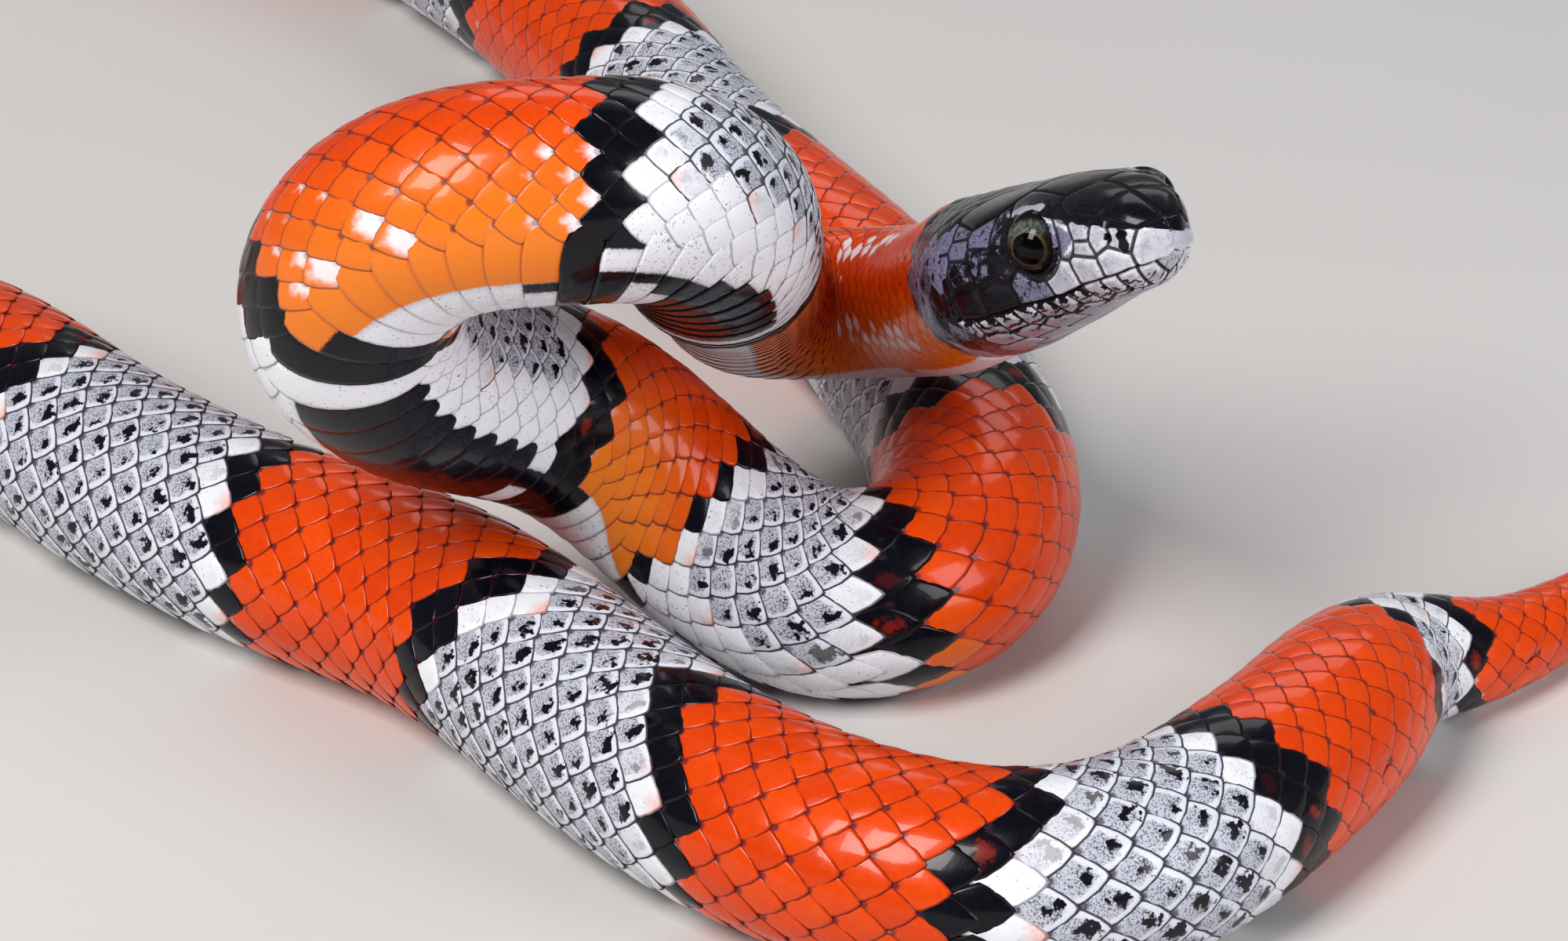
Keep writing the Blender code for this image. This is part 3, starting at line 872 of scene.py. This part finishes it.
def makeCoat(name, lattice, patternObject, finish, whole):  # whole: each scale takes one marking
    tuck = -coatForm["tuck"] * smoothStep(6.2, 7.8, -lattice[:, 0])
    points = newObject(name + " points", np.column_stack([lattice[:, :2], tuck]) / toMetres, [])
    storeVector(points.data, "reach", lattice[:, 2:5])
    storeVector(points.data, "scalePlace", lattice[:, [0, 1, 5]])
    coat = points.modifiers.new("coat", "NODES")
    coat.node_group = coatNodes
    given = {
        "Plate": patternObject, "Body Line": linePoints, "Line Start": float(lineAt[0]),
        "Line Step": bodyForm["lineStep"], "Metres": toMetres, "Finish": finish,
    }
    for socket in coatNodes.interface.items_tree:
        if socket.in_out == "INPUT" and socket.name in given:
            coat[socket.identifier] = given[socket.name]
    graph = bpy.context.evaluated_depsgraph_get()
    mesh = bpy.data.meshes.new_from_object(points.evaluated_get(graph), preserve_all_data_layers=True, depsgraph=graph)
    points.modifiers.clear()
    bpy.data.objects.remove(points)
    mesh.name = name
    at, scaleTurn, chances = readVector(mesh, "scalePlace").T
    own, turn = chances * 2 - 1, scaleTurn if whole else readVector(mesh, "bodyPlace")[:, 1]
    # a scale shows the part towards its tip
    zone = markings(at + (0.2 if whole else 0.1) * np.interp(at, lineAt, linePeriod), turn, own)
    if (at < 0).any():
        zone = np.where((at < -0.2)[:, None], headMarkings(-at, turn, own), zone)
    # flanks count as lower on the raised loop than on the lying body, so the loop's orange is yellower: a painted
    # brightening of the loop
    low = np.abs(turn) / math.pi * np.where(at < 170, 1.0, 0.62)
    storeVector(mesh, "zone", zone)
    storeVector(mesh, "tone", np.column_stack([chances, low, (at > -0.2) * 1.0]))
    layer = mesh.uv_layers["OFBake"].data
    uvs = np.empty(len(mesh.loops) * 2, np.float32)
    layer.foreach_get("uv", uvs)
    uvs = np.column_stack(bakePlace(at, scaleTurn))[cornerPoints(mesh)] + uvs.reshape(-1, 2) * bakeWrap["patch"]
    layer.foreach_set("uv", np.ascontiguousarray(uvs, np.float32).ravel())
    for extra in ("scalePlace", "bodyPlace", "reach"):
        if extra in mesh.attributes:
            mesh.attributes.remove(mesh.attributes[extra])
    piece = addObject(name, mesh)
    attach(piece, "root")
    print(name, len(lattice), "plates", sum(len(face.vertices) - 2 for face in mesh.polygons), "triangles")


chance = np.random.RandomState(coatForm["seed"])
dorsal = dorsalLattice(coatForm, chance)
for number, (first, second) in enumerate(zip(coatForm["pieceEdges"], coatForm["pieceEdges"][1:]), 1):
    rows = dorsal[(dorsal[:, 0] >= first) & (dorsal[:, 0] < second)]
    makeCoat(f"scales_{number}", rows, platePattern, scaleGloss, True)
belly = bellyLattice(coatForm, chance, 0.0, coatForm["ventAt"], beltForm["half"], 180.0)
tail = [
    bellyLattice(
        coatForm, chance, coatForm["ventAt"], bodyLength - coatForm["bareTip"], beltForm["tailHalf"],
        180.0 + side * beltForm["tailMiddle"], offset)
    for side, offset in ((-1, 0.0), (1, 0.5))
]
makeCoat("belly_plates", belly, beltPattern, bellyGloss, False)
makeCoat("tail_belly_plates", np.vstack(tail), beltPattern, bellyGloss, False)
bpy.data.objects.remove(linePoints)

eyeForm = {
    "radius": 2.45, "side": 4.75, "forward": 20.0, "rise": 1.75, "opening": 2.22, "facing": (0.42, 0.0),
    "gaze": (0.56, -0.12), "cornea": 0.10, "wet": 0.5, "wetRoughness": 0.01, "wetIor": 1.4,
    "skinBehind": 0.5, "rim": (0.22, 0.30, 0.22), "rimGroove": (-0.16, 0.78, 0.14),  # height, place, width
    "rimDark": 0.62, "rimEnd": 1.4,
}
headForm = {
    "noseStart": 25.2, "noseDrop": 0.9, "stations": 196, "around": 320, "snoutShare": 0.74,
    "sunk": 0.30, "coatSunk": 0.50, "groove": 0.15, "grooveWide": 0.15, "dome": 0.10, "domeWide": 0.45,
    "mouthDepth": 0.42, "mouthWide": 0.16, "mouthCorner": 6.8, "fullLip": 0.10,
    "nostril": (28.1, 86), "nostrilSize": (0.34, 0.46), "nostrilDepth": 0.55, "nostrilRim": 0.07,
    "bodyStart": 1.2, "bodyStep": 2.2, "bodyAround": 40,
}
plates = (  # each plate of one side: distance from the head's back, degrees from the crown, size, black, white
    (31.3, 150, 0.0, 0.05, 0.85),  # rostral
    (30.5, 112, 0.0, 0.05, 0.85),  # its wing
    (29.4, 34, 0.3, 0.95, 0.0),  # internasal
    (26.1, 30, 0.6, 0.95, 0.0),  # prefrontal
    (20.4, 0, 1.6, 0.93, 0.0),  # frontal
    (19.6, 40, 1.0, 0.9, 0.0),  # supraocular
    (12.2, 20, 2.2, 0.9, 0.0),  # parietal
    (28.95, 88, 0.0, 0.1, 0.8), (27.3, 82, 0.0, 0.1, 0.75),  # nasals
    (25.9, 74, 0.0, 0.1, 0.7), (25.7, 88, -0.2, 0.15, 0.6),  # loreals
    (23.5, 78, 0.0, 0.22, 0.08),  # preocular
    (16.8, 60, 0.0, 0.6, 0.0), (16.4, 80, 0.0, 0.75, 0.0),  # postoculars
    (14.0, 57, 0.2, 0.35, 0.0), (13.8, 76, 0.2, 0.55, 0.0), (11.2, 46, 0.1, 0.4, 0.0),  # temporals
    (11.2, 62, 0.1, 0.2, 0.0), (11.0, 79, 0.1, 0.6, 0.0), (8.9, 54, 0.0, 0.3, 0.0),
    (8.9, 70, 0.0, 0.2, 0.0), (8.7, 86, 0.0, 0.8, 0.0),
    (27.8, 109, 0.0, 0.05, 0.8), (25.1, 106, 0.0, 0.05, 0.75), (22.2, 105, 0.1, 0.05, 0.75),  # upper lip
    (18.4, 105, 0.1, 0.36, 0.04), (14.7, 101, 0.2, 0.95, 0.0), (11.1, 98, 0.3, 1.0, 0.0),
    (8.3, 99, 0.1, 0.95, 0.0),
    (30.1, 176, 0.0, 0.1, 0.7), (29.0, 157, 0.0, 0.05, 0.8), (27.5, 141, 0.0, 0.05, 0.8),  # lower lip
    (26.0, 136, 0.0, 0.05, 0.8), (24.1, 133, 0.0, 0.1, 0.75), (22.1, 132, 0.0, 0.3, 0.55),
    (20.0, 131, 0.0, 0.35, 0.5), (17.9, 128, 0.0, 0.35, 0.5), (15.8, 125, 0.0, 0.35, 0.5),
    (13.6, 122, 0.0, 0.35, 0.5), (11.3, 119, 0.0, 0.35, 0.4), (9.0, 114, 0.0, 0.35, 0.4),
    (24.9, 168, 0.6, 0.15, 0.5), (20.4, 160, 0.6, 0.15, 0.5), (16.6, 152, 0.2, 0.2, 0.4),  # chin
    (16.2, 172, 0.2, 0.15, 0.45), (13.2, 146, 0.1, 0.2, 0.4), (12.8, 163, 0.1, 0.15, 0.45),
    (10.0, 138, 0.1, 0.2, 0.4), (9.6, 155, 0.1, 0.15, 0.45), (9.8, 174, 0.1, 0.15, 0.45),
)
mouthLine = (  # distance from the head's back, degrees from the crown
    (6.9, 100), (9.6, 107), (11.5, 111), (14.5, 113), (16.8, 115), (18.5, 118), (20.9, 121.5), (22.6, 121),
    (24.2, 120), (25.8, 121.5), (27.0, 123.5), (28.4, 126), (29.1, 132), (29.8, 139), (30.3, 148), (30.6, 165),
    (30.9, 180), (31.2, 215),
)
eyeLine = ((21.6, 52), (23.4, 61), (24.6, 68), (24.9, 76), (24.7, 83), (23.7, 89))
capLine = ((20, 30), (22, 52), (24, 60), (26, 66), (28, 70), (28.8, 76), (29.8, 72), (30.6, 71), (31.5, 80))
bulges = (  # distance, degrees, width along, width across, height
    (19.8, 44, 2.6, 1.0, 0.30),  # brow
    (26.0, 36, 1.7, 1.6, 0.08),
    (29.2, 38, 1.0, 1.4, 0.12),
    (14.0, 70, 3.5, 2.6, 0.16),
    (11.0, 104, 4.5, 2.6, 0.20),
    (23.3, 52, 2.2, 0.9, 0.12),
    (24.5, 84, 2.0, 1.2, -0.20),
)


# Places on the head, at a distance before its back and a turn from the crown by the left
def headSurface(ahead, turn, lift=0.0):
    ahead, turn, lift = np.broadcast_arrays(np.asarray(ahead, float), turn, lift)
    closing = np.maximum(ahead - headForm["noseStart"], 0) / (headLength - headForm["noseStart"])
    shut = np.sqrt(np.maximum(1 - closing**2, 0))
    wide, rise, depth = [size * shut + lift for size in headSizes(ahead)]
    sine, cosine = np.sin(turn), np.cos(turn)
    power = np.where(cosine > 0, *squareness(ahead))
    forward = ahead + lift * closing
    side = powered(sine, power) * wide
    up = powered(cosine, power) * np.where(cosine > 0, rise, depth) - headForm["noseDrop"] * (1 - shut)
    return headBack + headForward * forward[..., None] + headLeft * side[..., None] + headUp * up[..., None]


def eyeFrame(side, way="facing"):  # an eye's centre, and the way its opening faces or it looks
    centre = headBack + headForward * eyeForm["forward"] + headLeft * side * eyeForm["side"] + headUp * eyeForm["rise"]
    ahead, up = eyeForm[way]
    sideways = math.sqrt(1 - ahead**2 - up**2)
    return centre, unit(headLeft * side * sideways + headForward * ahead + headUp * up)


def onHead(ahead, degrees):  # a place on the head along its forward, left and up
    place = headSurface(ahead, np.radians(degrees)) - headBack
    return np.stack([place @ headForward, place @ headLeft, place @ headUp], -1)


def lipAt(ahead):  # the mouth line's degrees from the crown
    return np.interp(ahead, *zip(*mouthLine))


def lineDistance(places, path):  # how far places lie from a line through points of the head
    ends = onHead(*np.array(path, float).T)
    nearest = 9.0
    for first, second in zip(ends, ends[1:]):
        run = second - first
        share = np.clip(((places - first) @ run) / (run @ run), 0, 1)
        nearest = np.minimum(nearest, np.linalg.norm(places - first - share[..., None] * run, axis=-1))
    return nearest


def headGrid(form):
    slope = np.linspace(0, 1, form["stations"])
    share, start = form["snoutShare"], form["noseStart"]
    bend = np.sin(np.clip((slope - share) / (1 - share), 0, 0.985) * math.pi / 2)
    ahead = np.where(slope < share, slope / share * start, start + (headLength - start) * bend)
    turn = np.linspace(0, 2 * math.pi, form["around"], endpoint=False)
    ahead, turn = np.meshgrid(ahead, turn, indexing="ij")
    base = headSurface(ahead, turn) - headBack
    head = SimpleNamespace(ahead=ahead, turn=turn, degrees=np.degrees(np.minimum(turn, 2 * math.pi - turn)))
    head.local = np.stack([base @ headForward, np.abs(base @ headLeft), base @ headUp], -1)
    head.onCoat = 1 - smoothStep(8.3, 8.8, ahead + 0.15 * np.sin(6 * turn))
    head.lip = lipAt(ahead)
    head.gape = np.radians(head.degrees - head.lip) * np.linalg.norm(head.local[..., 1:], axis=-1)
    head.inMouth = smoothStep(form["mouthCorner"], 8.6, ahead)
    x, y, z = np.moveaxis(head.local - onHead(*form["nostril"]), -1, 0)
    long, wide = form["nostrilSize"]
    head.hole = np.sqrt((x / long) ** 2 + (y**2 + z**2) / wide**2)
    return head


def findPlates(head):  # each place's own plate, the next one and the distance to their border
    seeds, size = np.array([row[:2] for row in plates]), np.array([row[2] for row in plates])
    spots = onHead(seeds[:, 0], seeds[:, 1])
    flat = head.local.reshape(-1, 3)
    far = ((flat[:, None, :] - spots[None]) ** 2).sum(-1) - (size + 1.0) ** 2 * 0.9
    # the lips' plates end at the mouth
    apart = (head.degrees > head.lip).reshape(-1, 1) != (seeds[:, 1] > lipAt(seeds[:, 0]))[None]
    far = far + 90.0 * apart * (flat[:, :1] > headForm["mouthCorner"])
    rows, own = np.arange(len(flat)), far.argmin(1)
    plateNumber = np.maximum(np.arange(len(seeds)), 1)  # the first two spots make one plate
    other = np.where(plateNumber[None] == plateNumber[own][:, None], 1e9, far).argmin(1)
    border = (far[rows, other] - far[rows, own]) / (2 * np.linalg.norm(spots[own] - spots[other], axis=1))
    # plates on the middle line close on their mirror image
    middle = np.where((np.abs(spots[own, 1]) > 0.6) & (own > 1), flat[:, 1], 9.0)
    head.own, head.other, head.border = [
        found.reshape(head.ahead.shape) for found in (own, other, np.minimum(border, middle))]


def headLift(head, form):
    dome = form["dome"] * (1 - np.exp(-head.border / form["domeWide"]))
    groove = form["groove"] * np.exp(-((head.border / form["grooveWide"]) ** 2))
    lift = (dome - groove) * (0.6 + 0.4 * smoothStep(55, 75, head.degrees)) - form["sunk"]
    for at, angle, long, wide, height in bulges:
        x, y, z = np.moveaxis(head.local - onHead(at, angle), -1, 0)
        lift = lift + height * np.exp(-((x / long) ** 2) - (y**2 + z**2) / wide**2)
    lift = lift * (1 - head.onCoat) - form["coatSunk"] * head.onCoat
    lift = lift - form["mouthDepth"] * np.exp(-((head.gape / form["mouthWide"]) ** 2)) * head.inMouth
    lift = lift + form["fullLip"] * np.exp(-(((head.gape + 0.45) / 0.4) ** 2)) * head.inMouth  # the upper one
    lift = lift - form["nostrilDepth"] * np.exp(-(head.hole**2))
    return lift + form["nostrilRim"] * np.exp(-((head.hole - 1.7) ** 2) / 0.25)


def paint(head, where, black, white=None):
    head.black = np.where(where, black, head.black)
    if white is not None:
        head.white = np.where(where, white, head.white)


def openEye(head, side):
    centre, axis = eyeFrame(side)
    inner = eyeForm["radius"] - eyeForm["skinBehind"]
    offset = head.place - centre
    depth = offset @ axis
    out = offset - depth[..., None] * axis
    ring = np.linalg.norm(out, axis=-1)
    past = ring - eyeForm["opening"]
    near = (depth > -0.5) & (past < eyeForm["rimEnd"])
    # inside the opening the skin drops behind the eyeball
    sink = near & (past < 0.02)
    deep = np.sqrt(np.maximum(inner**2 - np.minimum(ring, inner - 0.05) ** 2, 0))
    inside = out / np.maximum(ring, 1e-6)[..., None] * np.minimum(ring, inner)[..., None]
    inside = centre + inside + axis * np.minimum(depth, deep - 0.1)[..., None]
    # a raised rim, then a groove round it
    rings = (eyeForm["rim"], eyeForm["rimGroove"])
    bump = sum(height * np.exp(-(((past - at) / wide) ** 2)) for height, at, wide in rings)
    outside = head.place + axis * np.where(near, bump, 0.0)[..., None]
    head.place = np.where(sink[..., None], inside, outside)
    pale = (past > eyeForm["rim"][1]) & (out @ headForward > 0.6) & (out @ headUp > -0.9)
    paint(head, near & (past < eyeForm["rimDark"]), np.where(pale, 0.15, 0.95), 0.0)
    # the groove round the eye counts as a seam, so it is painted dark: painted shade
    head.seam = np.where(near & (past < 0.9), np.abs(past - eyeForm["rimGroove"][1]), head.seam)


lipPaint = {  # distances from the head's back, and heights below the mouth line
    "comb": (0.05, 1.25), "combTo": 22.9, "blots": (0.75, 2.3), "blotsAlong": (22.6, 27.8), "streaks": (1.2, 3.6),
    "streaksFrom": 8,
}


def within(ends, value):
    return (value > ends[0]) & (value < ends[1])


def paintLips(head, form):
    ahead, degrees, gape = head.ahead, head.degrees, head.gape
    # white blotches along the lower lip, thin dark streaks below them
    comb = np.sin(ahead * 4.7 + 0.9 * np.sin(ahead * 1.7) + 1.2 * gape) + 0.55 * np.sin(gape * 7.0 + ahead * 2.3)
    onComb = (gape > form["comb"][0]) & (gape < form["comb"][1] + 0.3 * np.sin(ahead * 3.1))
    onComb &= (ahead < form["combTo"]) & (head.inMouth > 0.5)
    head.dark = onComb & ((comb > 0.22) | (gape < 0.36 + 0.14 * np.sin(ahead * 5.3)))
    paint(head, onComb, 0.0, 0.9)
    paint(head, head.dark, 0.97, 0.0)
    blot = np.sin(ahead * 4.3 + 1.0) * np.sin(gape * 3.4 + ahead * 1.2) > 0.35
    paint(head, blot & within(form["blots"], gape) & within(form["blotsAlong"], ahead), 0.92)
    bend = degrees * 0.9 + 0.5 * np.sin(ahead * 1.3) + 0.4 * np.sin(ahead * 3.4 + 1.0)
    streak = (np.sin(bend) > 0.35) & (np.sin(ahead * 1.9 + degrees * 0.35) > -0.35)
    paint(head, streak & within(form["streaks"], gape) & (ahead > form["streaksFrom"]), 0.75)


crownPaint = {  # distances from the head's back, and degrees from the crown
    "overEye": (19.8, 42), "overEyeSize": (2.9, 5.0), "capFrom": 21.5, "capLeft": 38, "capLeftFrom": (28.9, 29.8),
    "bandAt": 29.2, "bandEdge": (0.22, 0.40), "bandTop": (60, 64), "bandLow": (103, 109), "eyeLine": 0.15,
}


def paintCrown(head, form):
    ahead, degrees = head.ahead, head.degrees
    # a pale streak over the eye
    (at, angle), (long, wide) = form["overEye"], form["overEyeSize"]
    over = ((ahead - at) / long) ** 2 + ((degrees - angle - 0.7 * np.sin(ahead * 2.6)) / wide) ** 2
    paint(head, over < 1, 0.12, 0.4)
    # the crown's black reaches down over the snout, lower on the left of its tip
    lower = form["capLeft"] * smoothStep(*form["capLeftFrom"], ahead) * (head.turn < math.pi)
    cap = np.interp(ahead, *zip(*capLine)) + lower
    capped = 1 - smoothStep(-3, 2, degrees - cap + 2.5 * np.sin(ahead * 4.3) * np.cos(degrees * 0.31))
    # and stands in a band before the nostril
    away = np.abs(ahead - form["bandAt"] - 0.012 * (90 - degrees)) + 0.08 * np.sin(degrees * 0.5)
    band = smoothStep(*form["bandTop"], degrees) * (1 - smoothStep(*form["bandLow"], degrees))
    band = band * (1 - smoothStep(*form["bandEdge"], away))
    capped = np.maximum(np.where(ahead > form["capFrom"], capped, 0), band)
    head.black, head.white = np.maximum(head.black, 0.95 * capped), head.white * (1 - capped)
    # the nostril's pit is painted black: painted shade in the hole
    head.black = np.maximum(head.black, 1 - smoothStep(0.8, 1.25, head.hole))
    # a fine white line before the eye
    paint(head, lineDistance(head.local, eyeLine) < form["eyeLine"] + 0.04 * np.sin(ahead * 6.0), 0.0, 0.95)


def sculptedHead():  # the head's grid of places, with its marking shares, plate marks and tones
    head = headGrid(headForm)
    findPlates(head)
    # the mouth line counts as a seam, so it is painted dark: partly painted shade in the crease
    head.seam = np.minimum(head.border, np.where(head.inMouth > 0.5, np.abs(head.gape), 9.0))
    head.place = headSurface(head.ahead, head.turn, headLift(head, headForm))
    colours = np.array([row[3:] for row in plates])
    share = (0.5 + 0.5 * np.clip(head.border / 0.14, 0, 1))[..., None]
    head.black, head.white = np.moveaxis(colours[head.own] * share + colours[head.other] * (1 - share), -1, 0)
    openEye(head, 1)
    openEye(head, -1)
    paintLips(head, lipPaint)
    paintCrown(head, crownPaint)
    covered = head.onCoat > 0.5
    rear = headMarkings(head.ahead, np.radians(head.degrees))
    paint(head, covered, rear[..., 0], rear[..., 2])
    # seams between head plates, the mouth line and the groove round the eye take the dark gap colour: partly dark
    # sutures, partly painted shade in the grooves
    edge = np.interp(head.seam, (0.0, 0.10, 0.28, 0.8), (1.12, 1.0, 0.86, 0.4))
    edge = np.where(covered, 0.9, np.where(head.dark, 1.12, edge))
    one, none = np.ones_like(edge), np.zeros_like(edge)
    tone = (head.own * 0.37) % 1, head.degrees / 180 * 0.5, none
    return head.place, np.stack([head.black, one, head.white, one, none, edge, *tone], -1)


def makeSkin(form):
    around, thin = form["around"], form["bodyAround"]
    place, marks = sculptedHead()
    points, marks = [place.reshape(-1, 3)], [marks.reshape(-1, 9)]
    rows = len(place)
    tip = rows * around
    faces = []
    for j in range(around):
        k = (j + 1) % around
        faces += [(i + j, i + k, i + around + k, i + around + j) for i in range(0, tip - around, around)]
        faces.append((tip - around + j, tip - around + k, tip))
    points.append(place[-1].mean(0)[None] + headForward * 0.02)
    marks.append(marks[0][-1:])

    stations = np.linspace(form["bodyStart"], bodyLength - 0.5, int(bodyLength / form["bodyStep"]))
    at, turns = np.meshgrid(stations, np.linspace(0, 2 * math.pi, thin, endpoint=False), indexing="ij")
    thick = np.clip(smoothTable(girth, at, bodyForm["girthBlend"]) / 4.0, 0.35, 1.0)  # the coat is thinner on the tail
    points.append(onBody(at, turns, -form["coatSunk"] * thick).reshape(-1, 3))
    wrapped = np.where(turns > math.pi, turns - 2 * math.pi, turns)
    # the skin between the scales takes the dark gap colour: partly dark skin, partly painted shade
    plain = [0 * at + value for value in (0.6, 0.0, 0.97, 0.3)]
    tones = np.stack([*plain, np.abs(wrapped) / math.pi * 0.6, 0 * at], -1)
    marks.append(np.concatenate([markings(at, wrapped), tones], -1).reshape(-1, 9))
    start = tip + 1
    last = start + (len(stations) - 1) * thin
    points.append(onBody(np.array([bodyLength]), np.array([0.0]), -0.45))
    marks.append(marks[-1][-1:])
    ratio = around // thin
    for j in range(thin):
        k = (j + 1) % thin
        faces.append((start + j, start + k, *[(j * ratio + step) % around for step in range(ratio, -1, -1)]))
        faces += [(i + j, i + thin + j, i + thin + k, i + k) for i in range(start, last, thin)]
        faces.append((last + j, last + thin, last + k))
    skin = newObject("skin", np.vstack(points), faces)
    marks = np.vstack(marks)
    for column, name in enumerate(("zone", "inPlate", "tone")):
        storeVector(skin.data, name, marks[:, column * 3 : column * 3 + 3])
    mesh = bmesh.new()
    mesh.from_mesh(skin.data)
    bmesh.ops.recalc_face_normals(mesh, faces=mesh.faces)
    mesh.to_mesh(skin.data)
    mesh.free()
    skin.data.shade_smooth()
    skin.data.materials.append(headGloss)
    return skin


skin = makeSkin(headForm)
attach(skin, "root")
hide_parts("head", "neck", *[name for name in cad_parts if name.startswith(("trunk_", "tail_"))])
print("skin", len(skin.data.polygons), "faces")

irisColours = {
    "pupil": (0.0004, 0.0004, 0.0004),
    "dark": ((0.002, 0.001, 0.001), (0.030, 0.020, 0.012)),
    "lit": ((0.022, 0.030, 0.028), (0.135, 0.155, 0.135)),
    "golden": (0.17, 0.115, 0.05),
    "edge": (0.004, 0.004, 0.004),
}


def eyeFinish(side, colours):
    centre, axis = eyeFrame(side, "gaze")
    radius = eyeForm["radius"] * toMetres
    material, net, shader = newFinish("wet eye")
    place = net.add("ShaderNodeTexCoord").outputs["Object"]
    offset = net.vector("SUBTRACT", place, tuple(centre * toMetres))
    depth = net.vector("DOT_PRODUCT", offset, tuple(axis))
    across = net.vector("SUBTRACT", offset, net.vector("SCALE", tuple(axis), scale=depth))
    ring = net.calc("DIVIDE", net.vector("LENGTH", across), radius)
    upward = net.calc("DIVIDE", net.vector("DOT_PRODUCT", offset, tuple(headUp)), radius)
    fibres = net.noise(place, 3000.0, 4.0, 0.7)
    # the iris is painted lighter above and darker below: painted light from above
    lit = net.rising(0.05, 0.62, net.timesPlus(fibres, 0.5, net.minus(upward, 0.2)))
    mottled = net.mixed(net.rising(0.35, 0.65, fibres), *colours["lit"])
    iris = net.mixed(lit, net.mixed(fibres, *colours["dark"]), mottled)
    # a golden ring round the pupil, painted brighter above like the upper iris
    golden = net.times(net.rising(0.53, 0.55, ring), net.falling(0.575, 0.62, ring))
    golden = net.times(golden, net.timesPlus(net.rising(-0.5, 0.3, upward), 0.42, 0.14))
    iris = net.mixed(golden, iris, colours["golden"])
    iris = net.mixed(net.rising(0.76, 0.92, ring), iris, colours["edge"])
    onIris = net.rising(0.515, 0.535, net.timesPlus(fibres, 0.012, ring))
    net.feed(shader["Base Color"], net.mixed(onIris, colours["pupil"], iris))
    net.feed(shader["Roughness"], net.timesPlus(fibres, 0.2, 0.5))
    shader["Coat Weight"].default_value = eyeForm["wet"]
    shader["Coat Roughness"].default_value = eyeForm["wetRoughness"]
    shader["Coat IOR"].default_value = eyeForm["wetIor"]
    shader["Specular IOR Level"].default_value = 0.0
    return material


def makeEye(word, side):
    centre, axis = eyeFrame(side, "gaze")
    mesh = bmesh.new()
    bmesh.ops.create_uvsphere(mesh, u_segments=64, v_segments=40, radius=eyeForm["radius"])
    turn = Vector((0, 0, 1)).rotation_difference(Vector(axis)).to_matrix()
    for vert in mesh.verts:
        vert.co.z += eyeForm["cornea"] * max(vert.co.z / eyeForm["radius"], 0) ** 4  # it stands a little proud
        vert.co = (turn @ vert.co + Vector(centre)) * toMetres
    bmesh.ops.recalc_face_normals(mesh, faces=mesh.faces)
    data = bpy.data.meshes.new("eyeball_" + word)
    mesh.to_mesh(data)
    mesh.free()
    data.shade_smooth()
    data.materials.append(eyeFinish(side, irisColours))
    eye = addObject("eyeball_" + word, data)
    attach(eye, "root")
    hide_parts("eye_" + word)


makeEye("left", 1)
makeEye("right", -1)
print("eyes made")

stageForm = {
    "floorSize": 3.0,
    "floorColour": (0.62, 0.60, 0.58),
    "floorRoughness": 0.75,
    "world": (0.62, 0.66, 0.72),
    "worldStrength": 0.20,
}
lights = {  # place, size, power, colour
    "key": ((-0.30, -0.45, 0.62), (0.28, 0.46), 6.4, (1.0, 0.99, 0.98)),
    "fill": ((0.55, -0.35, 0.30), (0.3, 0.4), 2.2, (0.94, 0.96, 1.0)),
    "back": ((0.15, 0.70, 0.55), (0.6, 0.3), 1.0, (1.0, 1.0, 1.0)),
}
lightTarget = (0, 0, 0.02)
cameraForm = {"place": (0.0248, -0.4296, 0.2340), "target": (0.0248, -0.0507, 0.0152), "lens": 123.3}


def aim(obj, place, target):
    obj.location = place
    obj.rotation_euler = (Vector(target) - Vector(place)).to_track_quat("-Z", "Y").to_euler()


def makeStage(form):
    half = form["floorSize"] / 2
    mesh = bpy.data.meshes.new("floor")
    mesh.from_pydata([(-half, -half, 0), (half, -half, 0), (half, half, 0), (-half, half, 0)], [], [(0, 1, 2, 3)])
    material, net, shader = newFinish("pale floor")
    cloudy = net.noise(net.add("ShaderNodeTexCoord").outputs["Object"], 14.0, 4.0)
    lighter = tuple(value * 1.06 for value in form["floorColour"])
    net.feed(shader["Base Color"], net.mixed(cloudy, form["floorColour"], lighter))
    shader["Roughness"].default_value = form["floorRoughness"]
    mesh.materials.append(material)
    addObject("floor", mesh)
    world = bpy.data.worlds.new("soft room")
    world.use_nodes = True
    background = world.node_tree.nodes["Background"]
    background.inputs["Color"].default_value = (*form["world"], 1)
    background.inputs["Strength"].default_value = form["worldStrength"]
    scene.world = world


def addLight(name, place, size, power, colour):
    light = bpy.data.lights.new(name, "AREA")
    light.shape = "RECTANGLE"
    light.size, light.size_y = size
    light.energy = power
    light.color = colour
    aim(addObject(name, light), place, lightTarget)


def addCamera(form):
    lens = bpy.data.cameras.new("camera")
    lens.lens = form["lens"]
    lens.sensor_width = 36.0
    lens.clip_start, lens.clip_end = 0.01, 20.0
    scene.camera = addObject("camera", lens)
    aim(scene.camera, form["place"], form["target"])


makeStage(stageForm)
for name, values in lights.items():
    addLight(name, *values)
addCamera(cameraForm)
scene.view_settings.view_transform = "Standard"
print("stage, lights and camera made")
